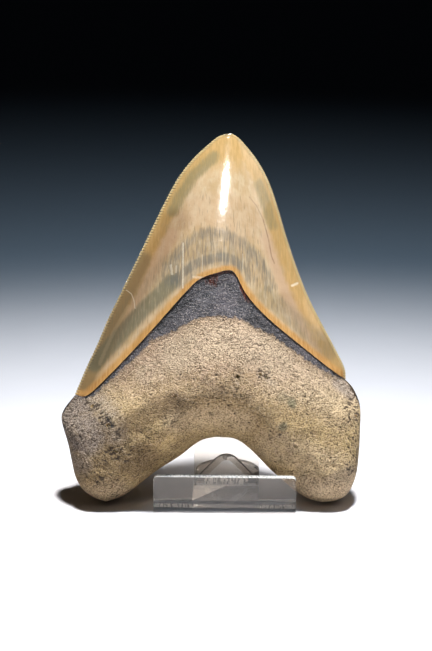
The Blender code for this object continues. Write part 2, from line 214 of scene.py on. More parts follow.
# ---- holes and pits in the root: (across, up, width, depth) in mm ---------------------------
HOLES = (
    (9.5, 44.7, 1.5, 1.6), (17.5, 45.4, 1.3, 0.9), (19.6, 44.5, 1.2, 0.9), (-42.9, 34.2, 1.6, 0.8),
    (-36.5, 27.5, 1.7, 1), (-33.4, 18.3, 1.3, 0.8), (52, 30.5, 1.4, 0.7), (-12.5, 38, 1.2, 0.7),
    (30, 20, 1.2, 0.7),
)

# ---- coloured zones: strokes of (points, half width, soft edge, strength), mm ---------------
ZONES = {
    "olive": (
        (((1, 125), (-2, 122), (-6.5, 118), (-8.5, 114.5), (-11.5, 110), (-14, 105)), 1, 2.6, 1),
        (((-14, 105), (-16.5, 100), (-19, 94)), 0.8, 2.6, 0.4),
        (((17.5, 115), (19.5, 110), (21.5, 103), (22.5, 100)), 1, 2.4, 0.8),
        (((22.5, 100), (24.5, 93), (27, 84)), 0.8, 2.4, 0.3),
    ),
    "smoke": (
        (((-14, 84), (-12, 88.5), (-9, 92), (-4.5, 95), (0.5, 96.5), (7.5, 94.5), (13, 91), (17, 86.5),
          (19.5, 82), (21.5, 77.5)), 0.8, 3.2, 0.75),
        (((-12, 82), (-6, 88), (1, 90.5), (8, 88.5), (13, 84)), 4, 4.5, 0.6),
        (((-13, 79.5), (-8, 83.5), (-3, 86.2), (4, 87.6), (8, 86.8), (11, 83.5)), 0.9, 2.6, 0.9),
    ),
    "slate": (
        (((-14, 79), (-19, 74), (-25, 68.5), (-31, 62), (-37, 55.5), (-42.5, 49.5)), 1.6, 3.2, 1),
        (((-15, 84), (-23, 76), (-31, 67), (-38, 57)), 3, 4.5, 0.45),
        (((11.5, 84), (15, 79), (20, 74)), 0.9, 2.8, 0.35),
        (((20, 74), (26, 69), (31, 64.5), (38, 59), (43, 54)), 2, 3.6, 0.55),
    ),
    "blush": (
        (((-15, 96), (-20, 87), (-24, 80), (-30, 70), (-35, 61)), 1.6, 3, 0.75),
        (((21, 95), (25, 84), (29.5, 73), (34, 65), (40, 57)), 1.6, 3, 1),
        (((-6, 104), (4, 104), (12, 101)), 4, 6, 0.4),
    ),
    # painted shade: darkens the left side of the crown and root, which faces away from the light at the
    # upper right, and two lit strips on the right
    "dusk": (
        (((-13, 101), (-17.5, 93), (-22.5, 84), (-29, 74), (-35, 64), (-41, 52)), 2.5, 5, 0.7),
        (((-28, 73), (-35, 63), (-41, 52.5), (-46, 44)), 3, 5, 0.45),
        (((-50, 30), (-44, 25), (-40, 19), (-44, 14)), 5, 6, 0.7),
        (((-44, 14), (-38, 5)), 5, 5, 0.35),
        (((18, 27), (32, 29.5), (43, 27)), 3, 5, 0.4),
        (((27, 72), (34, 62), (41, 54)), 2, 4, 0.4),
        (((-31, 26), (-25, 29.5), (-19, 33), (-13, 35)), 1.5, 4.5, 0.9),
        (((-32, 15), (-26, 15.5), (-21, 17)), 2, 4, 0.6),
    ),
    "umber": (
        (((-25, 87), (-30, 78), (-35, 68), (-39.5, 57), (-44, 47), (-47, 41)), 2.2, 3, 1),
        (((41, 60), (45, 52), (47, 47)), 1.5, 2.5, 0.3),
    ),
    # a brown band across the root, partly real colour and partly painted shade under the root's ridge; the
    # two strokes on the left lobe are painted shade
    "brown": (
        (((-37, 23), (-28, 28), (-18, 32.5), (-8, 35.5), (2, 36.5), (12, 35), (20, 31.5)), 1.2, 4.5, 0.3),
        (((-40, 20), (-34, 17), (-27, 15)), 3.5, 7, 0.75),
        (((-46, 14), (-42, 6), (-36, 3), (-30, 5)), 4, 7, 0.45),
    ),
    "mauve": (
        (((-52, 34), (-49, 29), (-45, 24)), 5, 5, 1),
        (((-44, 37), (-37, 31), (-34, 25)), 2, 5, 0.55),
        (((-48, 19), (-46, 14)), 2, 4, 0.6),
        (((46.5, 42.5), (51, 39)), 1.2, 2.5, 0.8),
    ),
    "pitted": (
        (((-44.5, 35), (-41, 34)), 0.9, 1.4, 1),
        (((-38.5, 31), (-36, 27.5), (-33.5, 24.5)), 1.3, 2, 1),
        (((-36, 18), (-31, 17)), 1, 2, 0.8),
        (((-52.5, 33), (-50, 24)), 3, 4, 0.45),
        (((50.5, 36), (51.5, 24), (51, 12)), 2, 3, 0.7),
        (((17, 46), (20.5, 44.5)), 1, 1, 0.8),
        (((-44, 10), (-40, 8)), 1.5, 3, 0.4),
    ),
    "moss": (
        (((28.7, 35.6), (28.9, 34.9)), 1, 1, 1),
        (((25.2, 26.8), (25.8, 27.2)), 0.9, 0.9, 1),
        (((25, 37.5), (27, 37)), 0.8, 1.5, 0.4),
    ),
    # pale patches: the small spots are real colour; the broad strokes over the lobes, the root's top and
    # below its dark band are painted light
    "chalk": (
        (((-40, 1.5), (-34, 2.5)), 3, 5, 0.7),
        (((32, 3.5), (40, 2.5), (48, 6)), 4, 6, 0.9),
        (((20.5, 43), (22.6, 42.2)), 0.7, 0.8, 1),
        (((9, 42.6), (9.6, 42)), 0.35, 0.5, 0.9),
        (((-30.5, 51.5), (-28, 53.5)), 0.5, 1, 0.7),
        (((-12, 52.5), (3, 57.5), (14, 55.5), (24, 50)), 3, 7, 0.6),
        (((-23, 46), (-18, 48)), 2, 5, 0.35),
        (((26, 44), (36, 41), (46, 34)), 4, 8, 0.45),
        (((22, 20), (32, 16), (44, 12)), 3, 7, 0.5),
        (((-13, 28.5), (0, 30), (12, 28.5)), 2, 4, 0.5),
    ),
    "soot": (
        (((-20.5, 62.5), (-16, 67), (-12, 70.5), (-8.5, 73)), 1.2, 2.6, 1),
        (((-38, 45.5), (-30, 52.5), (-22, 59.5)), 0.5, 2.5, 0.6),
        (((14, 66), (20, 62.5), (27, 57.5)), 0.6, 2.2, 0.6),
    ),
    "liver": (
        (((-0.9, 80.4), (-0.9, 78.3)), 0.6, 0.35, 1),
        (((0.6, 80.6), (0.6, 78)), 0.6, 0.35, 1),
        (((1.7, 80.6), (1.7, 77.6)), 0.45, 0.35, 1),
        (((11.2, 76.8), (12.2, 74.6), (13.2, 72.6)), 0.8, 0.4, 1),
        (((-3, 80), (1, 81.3), (6, 82.3), (9, 80.8)), 0.3, 0.35, 0.7),
    ),
}

# ---- fine marks: runs of (across, up) with half width and strength, mm ----------------------
SCRATCHES = (
    (((-10, 93), (-10, 76.5)), 0.11, 0.7),
    (((-3, 88.5), (-3, 82.5)), 0.08, 0.4),
    (((11.5, 89), (11.5, 83.5)), 0.08, 0.35),
    (((-31, 76.5), (-29, 75), (-28, 72.5), (-27.5, 69.5)), 0.11, 0.45),
    (((-14.4, 85), (-14, 81.8)), 0.3, 0.3),
    (((-12.4, 84.6), (-12.5, 82.4)), 0.22, 0.25),
    (((29.6, 78), (31.6, 79)), 0.28, 0.6),
    (((-6, 80.6), (-3, 80)), 0.35, 0.35),
)
FACET_LINES = (
    (((-30, 70.5), (-35, 62), (-38.5, 54.5), (-40.5, 49.5)), 0.45, 0.16),
    (((27.5, 75.5), (33, 67), (39, 58.5)), 0.45, 0.1),
)
VEINS = (
    (((14, 110), (16.5, 107), (19, 102)), 0.14, 0.4),
    (((19, 102), (21, 94.5), (22, 88.5), (23, 86)), 0.15, 0.6),
)
CRACKS = (
    (((-45.5, 37.2), (-42, 40.4), (-37.8, 44.4)), 0.26, 1),
    (((-37, 30), (-35, 27)), 0.3, 0.8),
)

# A line fades out between these two shares of its half width.
LINE_CORE = 0.8
LINE_REACH = 2.2
ACRYLIC_IOR = 1.49

# ---- curves and helpers ----------------------------------------------------------------------

def smooth_path(points, per_span=10):
    """A smooth curve through the points (Catmull-Rom), as an array of (across, up)."""
    known = [np.array(p, float) for p in points]
    known = [2 * known[0] - known[1]] + known + [2 * known[-1] - known[-2]]
    curve = []
    for before, start, end, after in zip(known, known[1:], known[2:], known[3:]):
        for t in np.arange(per_span) / per_span:
            curve.append(0.5 * (
                2 * start + (end - before) * t
                + (2 * before - 5 * start + 4 * end - after) * t ** 2
                + (3 * start - before - 3 * end + after) * t ** 3
            ))
    curve.append(known[-2])
    return np.array(curve)


class Path:
    """A smooth curve that is read by the fraction of its length."""

    def __init__(self, points):
        self.points = smooth_path(points)
        steps = np.linalg.norm(np.diff(self.points, axis=0), axis=1)
        self.lengths = np.concatenate([[0.0], np.cumsum(steps)])

    def at(self, fraction):
        want = np.asarray(fraction, float) * self.lengths[-1]
        sides = [np.interp(want, self.lengths, self.points[:, axis]) for axis in (0, 1)]
        return np.stack(sides, axis=-1)

    def rise(self, fraction):
        """How far the curve stands off the straight line between its ends."""
        part = np.asarray(fraction, float)[..., None]
        return self.at(fraction) - (self.points[0] * (1 - part) + self.points[-1] * part)

    def height_at(self, across):
        """The curve's up at each across, for a curve that runs from left to right."""
        return np.interp(across, self.points[:, 0], self.points[:, 1])


def distance_to(path_points, places):
    """Distance in mm from each place to a run of points joined by straight lines."""
    nearest = np.full(len(places), np.inf)
    for start, end in zip(path_points[:-1], path_points[1:]):
        span = end - start
        along = np.clip(((places - start) @ span) / max(span @ span, 1e-12), 0, 1)
        gap = places - start - along[:, None] * span
        nearest = np.minimum(nearest, np.einsum("ij,ij->i", gap, gap))
    return np.sqrt(nearest)


def smooth_step(low, high, value):
    """A smooth rise from 0 at low to 1 at high. low may be over high."""
    t = np.clip((value - low) / (high - low), 0, 1)
    return t * t * (3 - 2 * t)


CROWN_LEFT_PATH = Path(CROWN_LEFT)
CROWN_RIGHT_PATH = Path(CROWN_RIGHT)
ROOT_LEFT_PATH = Path(ROOT_LEFT)
ROOT_RIGHT_PATH = Path(ROOT_RIGHT)
NOTCH_PATH = Path(NOTCH)
ENAMEL_FRONT_PATH = Path(ENAMEL_FRONT)
ENAMEL_BACK_PATH = Path(ENAMEL_BACK)
BOURLETTE_PATH = Path(BOURLETTE_FOOT)
LEFT_SIDE = np.concatenate([CROWN_LEFT_PATH.points, ROOT_LEFT_PATH.points[1:]])
RIGHT_SIDE = np.concatenate([CROWN_RIGHT_PATH.points, ROOT_RIGHT_PATH.points[1:]])
ROOT_OUTLINE = np.concatenate([
    ROOT_LEFT_PATH.points, NOTCH_PATH.points[1:], ROOT_RIGHT_PATH.points[::-1][1:]
])


def deselect_all():
    """Leaves object mode with nothing selected, so that an operator acts on one piece only."""
    if bpy.context.object and bpy.context.object.mode != "OBJECT":
        bpy.ops.object.mode_set(mode="OBJECT")
    bpy.ops.object.select_all(action="DESELECT")


def make_active(piece):
    """Selects one piece alone, for the next operator."""
    deselect_all()
    piece.select_set(True)
    bpy.context.view_layer.objects.active = piece


def points_of(mesh):
    """The mesh's vertices as an (n, 3) array."""
    found = np.empty(len(mesh.vertices) * 3)
    mesh.vertices.foreach_get("co", found)
    return found.reshape(-1, 3)


def set_points(mesh, points):
    mesh.vertices.foreach_set("co", points.reshape(-1))
    mesh.update()


def set_field(mesh, name, values):
    """Stores one number for each vertex, for the materials to read."""
    field = mesh.attributes.get(name) or mesh.attributes.new(name, "FLOAT", "POINT")
    field.data.foreach_set("value", np.asarray(values, np.float32))


def get_field(mesh, name):
    values = np.empty(len(mesh.vertices), np.float32)
    mesh.attributes[name].data.foreach_get("value", values)
    return values.astype(float)


def noise_at(places, height, length, seed):
    """Smooth noise at (n, 3) places in mm, about as high as given, with lumps that long."""
    shifted = places / length + seed
    return height * np.array([noise.noise(Vector(place)) for place in shifted])


def select_none_of(*parts):
    """Clears the selection of a mesh's vertices, edges or polygons."""
    for part in parts:
        part.foreach_set("select", np.zeros(len(part), bool))


def apply_boolean(piece, other, operation):
    """Joins or cuts a piece with another, which is then removed."""
    make_active(piece)
    cut = piece.modifiers.new(other.name, "BOOLEAN")
    cut.operation = operation
    cut.solver = "EXACT"
    cut.object = other
    bpy.ops.object.modifier_apply(modifier=cut.name)
    bpy.data.objects.remove(other)


# ---- the tooth's shape -----------------------------------------------------------------------

def plan_place(row, column, enamel_path):
    """(across, up) of a grid point. Rows run from the tip, 0, to the enamel's edge, 1, and on
    to the notch, 2, and columns from the left side, 0, to the right side, 1."""
    crown = np.clip(row, 0, 1)
    root = np.clip(row - 1, 0, 1)
    in_root = (row > 1)[..., None]
    left = np.where(in_root, ROOT_LEFT_PATH.at(root), CROWN_LEFT_PATH.at(crown))
    right = np.where(in_root, ROOT_RIGHT_PATH.at(root), CROWN_RIGHT_PATH.at(crown))
    growth = crown ** 2 * (1 + RISE_DELAY) / (crown + RISE_DELAY)
    weight = (growth - root)[..., None]
    rise = weight * enamel_path.rise(column) + root[..., None] * NOTCH_PATH.rise(column)
    across = column[..., None]
    return left * (1 - across) + right * across + rise


def across_share(place):
    """0 on the tooth's middle line and 1 at its sides, level by level."""
    left = np.interp(place[:, 1], LEFT_SIDE[::-1, 1], LEFT_SIDE[::-1, 0])
    right = np.interp(place[:, 1], RIGHT_SIDE[::-1, 1], RIGHT_SIDE[::-1, 0])
    half = np.maximum((right - left) / 2, THINNEST_HALF_WIDTH)
    return np.clip(np.abs(place[:, 0] - (left + right) / 2) / half, 0, 1)


def depths(root, in_root, place, below_enamel):
    """How far the front and the back stand out from the cutting edges' plane, mm."""
    share = across_share(place)
    below_tip = TIP[1] - place[:, 1]
    dome = CROWN_DOME * (1 - np.exp(-below_tip / CROWN_DOME_RISE))
    crown_front = dome * (1 - share ** 2) ** CROWN_FLANK
    crown_back = -CROWN_BACK * (1 - share ** 2)

    plane = ROOT_PLANE * smooth_step(0, ROOT_SHOULDER_RUN, below_enamel)
    middle = np.exp(-((place[:, 0] - RIDGE_CENTRE) / RIDGE_HALF_WIDTH) ** 2)
    notch = np.exp(-((place[:, 0] - RIDGE_CENTRE) / NOTCH_HALF_WIDTH) ** 2)
    crest = np.exp(-((root - RIDGE_CREST) / RIDGE_SPREAD) ** 2)
    ridge = (RIDGE_AT_LOBES + RIDGE_AT_CENTRE * middle) * crest
    rounding = LOBE_ROUNDING + (NOTCH_ROUNDING - LOBE_ROUNDING) * notch
    inside = np.clip(distance_to(ROOT_OUTLINE, place) / rounding, 0, 1)
    edge = np.sqrt(np.maximum(1 - (1 - inside) ** 2, 0))
    root_front = plane + (ROOT_FRONT + ridge) * edge
    root_back = plane + (ROOT_BACK - plane) * edge

    blend = smooth_step(0, ROOT_FRONT_RUN, below_enamel)
    front = crown_front * (1 - blend) + root_front * blend
    back = crown_back * (1 - blend) + root_back * blend
    enamel = ENAMEL_STEP * ~in_root * (1 - share ** ENAMEL_STEP_FADE)
    return front + enamel, back, plane


def below_front_enamel(place):
    """Distance below the front's enamel edge, in mm, and 0 above it."""
    gap = distance_to(ENAMEL_FRONT_PATH.points, place)
    return np.where(place[:, 1] < ENAMEL_FRONT_PATH.height_at(place[:, 0]), gap, 0.0)


def root_relief(place, depth, settings):
    """Lumps, grain and pores of the bone in mm, at full height."""
    solid = np.column_stack([place, depth])
    lumps = sum(noise_at(solid, *layer) for layer in BONE_LUMPS)
    grain = sum(noise_at(solid, *layer) for layer in BONE_GRAIN)
    to_pore = np.array([noise.voronoi(Vector(p))[0][0] for p in solid / PORE_SPACING])
    pores = -PORE_DEPTH * smooth_step(PORE_EDGE, PORE_FLOOR, to_pore)
    pores *= 0.9 + noise_at(solid, *BONE_WEAR)
    return lumps + settings.bone_relief * (grain + pores)


def stroke_mask(strokes, place):
    """The strongest of several soft strokes at each place, from 0 to 1."""
    mask = np.zeros(len(place))
    for points, half_width, soft, strength in strokes:
        gap = distance_to(smooth_path(points, 6), place)
        mask = np.maximum(mask, strength * smooth_step(half_width + soft, half_width, gap))
    return mask


def tooth_to_world(points):
    """Points of the tooth's plane, (across, up, out) in mm, as world places in metres."""
    across, up, out = points.T
    y = up * math.sin(LEAN) - out * math.cos(LEAN)
    z = up * math.cos(LEAN) + out * math.sin(LEAN)
    return (np.column_stack([across, y, z]) + TOOTH_AT) * MM


def add_sheet(name, rows, columns):
    """A flat grid whose corners are (0, 0) and (1, 1), as the start of one side of the tooth.
    Returns it with each vertex's row and column number."""
    deselect_all()
    bpy.ops.mesh.primitive_grid_add(
        x_subdivisions=columns, y_subdivisions=rows, size=1, location=(0.5, 0.5, 0)
    )
    sheet = bpy.context.object
    sheet.name = name
    bpy.ops.object.transform_apply(location=True, rotation=True, scale=True)
    flat = points_of(sheet.data)
    column = np.rint(flat[:, 0] * columns).astype(int)
    row = np.rint(flat[:, 1] * rows).astype(int)
    return sheet, row, column


def row_values():
    """Row coordinates from the tip, 0, to the enamel's edge, 1, and to the notch, 2."""
    crown = np.arange(CROWN_ROWS + 1) / CROWN_ROWS
    steps = np.arange(1, ROOT_ROWS) / (ROOT_ROWS - 1)
    root = 1 - (1 - steps) ** ROOT_ROW_EASE
    return np.concatenate([crown, [1 + FIRST_ROOT_ROW], 1 + root])


def column_values(columns):
    """Column coordinates from the left to the right, closer together at the sides."""
    even = np.arange(columns + 1) / columns
    return even - COLUMN_EASE * np.sin(2 * np.pi * even) / (2 * np.pi)


def shape_sheet(sheet, row_number, column_number, columns, front, settings):
    """Moves a flat grid's vertices onto one side of the tooth and stores its fields."""
    row = row_values()[row_number]
    column = column_values(columns)[column_number]
    enamel_path = ENAMEL_FRONT_PATH if front else ENAMEL_BACK_PATH
    place = plan_place(row, column, enamel_path)
    below = below_front_enamel(place)
    root = np.clip(row - 1, 0, 1)
    in_root = row > 1
    out_front, out_back, plane = depths(root, in_root, place, below)
    on_rim = (column_number == 0) | (column_number == columns)
    on_rim |= (row_number == 0) | (row_number == row_number.max())
    enamel_gap = distance_to(enamel_path.points, place) * np.where(in_root, -1, 1)
    depth = out_front if front else out_back
    fade = smooth_step(-RELIEF_FROM, -RELIEF_FULL, enamel_gap)
    relief = root_relief(place, depth, settings) * fade
    if front:
        foot = BOURLETTE_PATH.height_at(place[:, 0])
        bourlette = np.where(in_root, place[:, 1] - foot, PAST_BOURLETTE)
        wrinkles = noise_at(np.column_stack([place, depth]), *BOURLETTE_GRAIN)
        relief += wrinkles * smooth_step(0, -WRINKLES_FULL, enamel_gap) * smooth_step(-1, 1, bourlette)
    else:
        bourlette = np.full(len(place), -PAST_BOURLETTE)
        relief = np.minimum(relief, BACK_RELIEF_LIMIT)
    depth = np.where(on_rim, plane, depth + np.where(in_root, relief, 0.0))

    edge = np.minimum(
        distance_to(CROWN_LEFT_PATH.points, place), distance_to(CROWN_RIGHT_PATH.points, place)
    )
    fields = {
        "row": row, "rim": on_rim, "edge": edge, "enamel": enamel_gap, "bourlette": bourlette,
        "below_tip": TIP[1] - place[:, 1], "front": np.full(len(place), float(front)),
    }
    for name, strokes in ZONES.items():
        fields[name] = stroke_mask(strokes, place) * (1.0 if front else BACK_ZONES)
    for name, values in fields.items():
        set_field(sheet.data, name, values)
    set_points(sheet.data, tooth_to_world(np.column_stack([place, depth])))


def cut_serrations(tooth, settings):
    """Divides the cutting edges and moves the new vertices out into small rounded teeth."""
    mesh = tooth.data
    make_active(tooth)
    rim = get_field(mesh, "rim") > ON_RIM
    row = get_field(mesh, "row")
    ends = np.array([edge.vertices[:] for edge in mesh.edges])
    cutting = rim[ends].all(axis=1) & (row[ends] <= 1 + ROW_SLACK).all(axis=1)
    select_none_of(mesh.vertices, mesh.edges, mesh.polygons)
    mesh.edges.foreach_set("select", cutting)
    bpy.ops.object.mode_set(mode="EDIT")
    bpy.ops.mesh.select_mode(type="EDGE")
    bpy.ops.mesh.subdivide(number_cuts=RIM_CUTS, ngon=True)
    bpy.ops.mesh.select_mode(type="FACE")
    bpy.ops.mesh.select_all(action="DESELECT")
    bpy.ops.mesh.select_face_by_sides(number=4, type="GREATER")
    bpy.ops.mesh.quads_convert_to_tris(quad_method="BEAUTY", ngon_method="BEAUTY")
    bpy.ops.object.mode_set(mode="OBJECT")

    points = points_of(mesh)
    row = get_field(mesh, "row")
    in_crown = (row < 1 + ROW_SLACK) & (row > ROW_SLACK)
    on_edge = np.flatnonzero((get_field(mesh, "rim") > ON_RIM) & in_crown)
    middle = np.interp(points[on_edge, 2], *middle_line())
    for path, side in ((CROWN_LEFT_PATH, -1), (CROWN_RIGHT_PATH, 1)):
        mine = on_edge[np.sign(points[on_edge, 0] - middle) == side]
        fraction = np.clip(row[mine], 0, 1)
        ahead = np.minimum(fraction + DIRECTION_SPAN, 1)
        behind = np.maximum(fraction - DIRECTION_SPAN, 0)
        run = path.at(ahead) - path.at(behind)
        normal = side * np.column_stack([-run[:, 1], run[:, 0]])
        normal /= np.linalg.norm(normal, axis=1)[:, None]
        phase = fraction * SERRATIONS % 1.0
        size = settings.serration_height / MM * smooth_step(0.0, SERRATION_FADE, fraction)
        height = size * (np.sin(np.pi * phase) ** SERRATION_BLUNTNESS - SERRATION_SUNK)
        flat = path.at(fraction) + normal * height[:, None]
        points[mine] = tooth_to_world(np.column_stack([flat, np.zeros(len(mine))]))
    set_points(mesh, points)


def middle_line():
    """World heights and the crown's middle across there, from low to high, for np.interp."""
    fraction = np.linspace(1, 0, MIDDLE_LINE_POINTS)
    left = CROWN_LEFT_PATH.at(fraction)
    right = CROWN_RIGHT_PATH.at(fraction)
    middle = (left + right) / 2
    world = tooth_to_world(np.column_stack([middle, np.zeros(len(middle))]))
    return world[:, 2], world[:, 0]


def sink_holes(tooth):
    """Cuts the nutrient holes and pits out of the root's front, square to its surface."""
    hit_from = np.array([[across, up, 2 * CROWN_DOME] for across, up, _, _ in HOLES])
    starts = tooth_to_world(hit_from)
    inward = Vector((0, math.cos(LEAN), -math.sin(LEAN)))
    deselect_all()
    balls = []
    for start, (_, _, width, depth) in zip(starts, HOLES):
        found, place, normal, _ = tooth.ray_cast(Vector(start), inward)
        if not found:
            raise RuntimeError("a hole misses the tooth")
        radius = ((width / 2) ** 2 + depth ** 2) / (2 * depth)
        centre = place + normal * (radius - depth) * MM
        bpy.ops.mesh.primitive_ico_sphere_add(subdivisions=3, radius=radius * MM, location=centre)
        balls.append(bpy.context.object)
    for ball in balls:
        ball.select_set(True)
    bpy.ops.object.join()
    apply_boolean(tooth, bpy.context.object, "DIFFERENCE")


# ---- the easel's shape -----------------------------------------------------------------------

def add_block(name, low, high):
    """A box between two corners in mm."""
    low, high = Vector(low) * MM, Vector(high) * MM
    deselect_all()
    bpy.ops.mesh.primitive_cube_add(size=1, location=(low + high) / 2, scale=high - low)
    block = bpy.context.object
    block.name = name
    bpy.ops.object.transform_apply(location=True, rotation=True, scale=True)
    return block


def edit_faces(piece, wanted):
    """Opens a piece for editing with the faces selected whose centre (mm) and normal are wanted,
    as wanted tells."""
    make_active(piece)
    select_none_of(piece.data.vertices, piece.data.edges)
    for face in piece.data.polygons:
        face.select = wanted(face.center / MM, face.normal)
    bpy.ops.object.mode_set(mode="EDIT")
    bpy.ops.mesh.select_mode(type="FACE")


def edit_edges(piece, wanted):
    """Opens a piece for editing with the edges selected whose two ends (mm) are wanted."""
    make_active(piece)
    mesh = piece.data
    select_none_of(mesh.vertices, mesh.polygons)
    for edge in mesh.edges:
        start, end = (mesh.vertices[v].co / MM for v in edge.vertices)
        edge.select = wanted(start, end)
    bpy.ops.object.mode_set(mode="EDIT")
    bpy.ops.mesh.select_mode(type="EDGE")


def bisect_at(piece, place, normal):
    """Divides all faces of a piece along a plane through a place in mm."""
    edit_faces(piece, lambda centre, facing: True)
    bpy.ops.mesh.bisect(plane_co=Vector(place) * MM, plane_no=normal)
    bpy.ops.object.mode_set(mode="OBJECT")


def extrude_by(shift):
    """Extrudes the selected faces by mm and leaves edit mode."""
    bpy.ops.mesh.extrude_region_move(TRANSFORM_OT_translate={"value": Vector(shift) * MM})
    bpy.ops.object.mode_set(mode="OBJECT")


def bevel_by(width, segments):
    """Rounds the selected edges by mm and leaves edit mode."""
    bpy.ops.mesh.bevel(offset=width * MM, segments=segments, affect="EDGES")
    bpy.ops.object.mode_set(mode="OBJECT")


def add_gable(name, half_width, apex, rounding, near, far):
    """An upright prism with 45 degree shoulders and a rounded apex, from the window's sill up."""
    ridge = apex + rounding * (math.sqrt(2) - 1)
    shoulder = ridge - half_width
    block = add_block(name, (-half_width, near, WINDOW_SILL), (half_width, far, shoulder))
    edit_faces(block, lambda centre, facing: facing.z > 0.9)
    bpy.ops.mesh.extrude_region_move(TRANSFORM_OT_translate={"value": (0, 0, half_width * MM)})
    bpy.ops.transform.resize(value=(0, 1, 1), center_override=(0, 0, ridge * MM))
    bpy.ops.mesh.select_all(action="SELECT")
    bpy.ops.mesh.remove_doubles(threshold=WELD)
    bpy.ops.mesh.normals_make_consistent(inside=False)
    bpy.ops.object.mode_set(mode="OBJECT")
    edit_edges(block, lambda start, end: min(start.z, end.z) > ridge - 0.01)
    bevel_by(rounding, ROUND_STEPS["arch"])
    return block


def lean_on_foot(block):
    """Turns a block from upright to the back rest's lean and sets it at the rest's foot."""
    lean = Matrix.Translation((0, REST_FOOT * MM, 0)) @ Matrix.Rotation(-LEAN, 4, "X")
    block.data.transform(lean)


def model_easel(settings):
    """The easel's solid in its own place, before its edges are rounded."""
    sheet = settings.sheet / MM
    lip_half = settings.lip_width / MM / 2
    lip_height = settings.lip_height / MM
    half = settings.rest_width / MM / 2
    length = settings.rest_length / MM
    inner = LIP_FRONT + sheet
    easel = add_block("display_easel", (-lip_half, LIP_FRONT, 0), (lip_half, BASE_BACK, sheet))
    bisect_at(easel, (0, inner, 0), (0, 1, 0))
    edit_faces(easel, lambda centre, facing: facing.z > 0.9 and centre.y < inner)
    extrude_by((0, 0, lip_height - sheet))
    bisect_at(easel, (-half, 0, 0), (1, 0, 0))
    bisect_at(easel, (half, 0, 0), (1, 0, 0))
    edit_faces(easel, lambda centre, facing: facing.y > 0.9 and centre.y > inner + 1 and abs(centre.x) < 1)
    extrude_by((0, FOOT_END - BASE_BACK, 0))
    edit_edges(easel, lambda start, end: min(start.y, end.y) > FOOT_END - 1 and abs(start.z - end.z) > 1)
    bevel_by(half * FOOT_ROUNDNESS, ROUND_STEPS["foot"])
    edit_edges(easel, lambda start, end: min(start.z, end.z) > sheet + 1 and abs(start.y - end.y) > 1)
    bevel_by(LIP_CORNER, ROUND_STEPS["lip"])

    rest = add_block("rest", (-half, 0, REST_START), (half, sheet, length))
    edit_edges(rest, lambda start, end: min(start.z, end.z) > length - 1 and abs(start.y - end.y) > 1)
    bevel_by(REST_CORNER, ROUND_STEPS["rest"])
    rim_half = min(WINDOW_HALF_WIDTH + RIM_WIDTH * math.sqrt(2), half - RIM_INSET)
    rim_apex, rim_rounding = WINDOW_APEX + RIM_WIDTH, WINDOW_ROUNDING + RIM_WIDTH
    rim = add_gable("rim", rim_half, rim_apex, rim_rounding, -RIM_HEIGHT, 1)
    at_front = RIM_INSET - RIM_HEIGHT
    over_sill = WINDOW_SILL + 0.1
    edit_edges(rim, lambda start, end: max(start.y, end.y) < at_front and max(start.z, end.z) > over_sill)
    bevel_by(RIM_BEAD, ROUND_STEPS["bead"])
    through = 3 * sheet
    window = add_gable("window", WINDOW_HALF_WIDTH, WINDOW_APEX, WINDOW_ROUNDING, -through, through)
    for block in (rest, rim, window):
        lean_on_foot(block)
    apply_boolean(easel, rest, "UNION")
    apply_boolean(easel, rim, "UNION")
    apply_boolean(easel, window, "DIFFERENCE")
    return easel


def round_edges(easel, settings):
    """Polishes every sharp edge of the easel."""
    make_active(easel)
    bpy.ops.object.mode_set(mode="EDIT")
    bpy.ops.mesh.select_all(action="SELECT")
    bpy.ops.mesh.remove_doubles(threshold=EASEL_WELD)
    bpy.ops.mesh.dissolve_limited(angle_limit=EASEL_FLAT)
    bpy.ops.object.mode_set(mode="OBJECT")
    bevel = easel.modifiers.new("edges", "BEVEL")
    bevel.width = settings.edge_round
    bevel.segments = ROUND_STEPS["edge"]
    bevel.limit_method = "ANGLE"
    bevel.angle_limit = EASEL_CORNER
    bpy.ops.object.modifier_apply(modifier=bevel.name)
    bpy.ops.object.shade_smooth_by_angle(angle=EASEL_SHARP)


def is_cut_edge(centre, facing, inner, sheet):
    """Whether a face of the easel, with its centre in mm, was sawn through the sheet."""
    if abs(facing.x) > 0.5:
        return True
    if centre.y < inner + 0.1 and centre.z > sheet + 0.5:
        return facing.z > 0.5
    if centre.z < sheet + 0.1:
        return abs(facing.z) < 0.5
    return abs(facing.dot(ACROSS_SHEET)) < 0.5


def is_arch_line(centre, facing, rest_half):
    """Whether a face is part of the rounded borders of the window's raised rim."""
    from_foot = centre - Vector((0, REST_FOOT, 0))
    out = from_foot.dot(ACROSS_SHEET)
    up = from_foot.y * math.sin(LEAN) + from_foot.z * math.cos(LEAN)
    at_rim = abs(centre.x) < rest_half - RIM_INSET and WINDOW_SILL < up < WINDOW_APEX + RIM_WIDTH + 1
    return at_rim and 0.05 < out < RIM_BEAD_REACH and -0.3 < facing.dot(ACROSS_SHEET) < 0.97


def finish_index(face, inner, sheet, rest_half):
    """Which of the easel's materials a face has: clear 0, sawn edge 1 or window border 2."""
    centre = face.center / MM
    if is_arch_line(centre, face.normal, rest_half):
        return 2
    return int(is_cut_edge(centre, face.normal, inner, sheet))


# ---- materials -------------------------------------------------------------------------------

class Signal:
    """A node's output. Adding or multiplying it adds a Math node to its material."""

    def __init__(self, finish, socket):
        self.finish = finish
        self.socket = socket

    def __add__(self, other):
        return self.finish.math("ADD", self, other)

    def __sub__(self, other):
        return self.finish.math("SUBTRACT", self, other)

    def __rsub__(self, other):
        return self.finish.math("SUBTRACT", other, self)

    def __mul__(self, other):
        return self.finish.math("MULTIPLY", self, other)

    def __truediv__(self, other):
        return self.finish.math("DIVIDE", self, other)


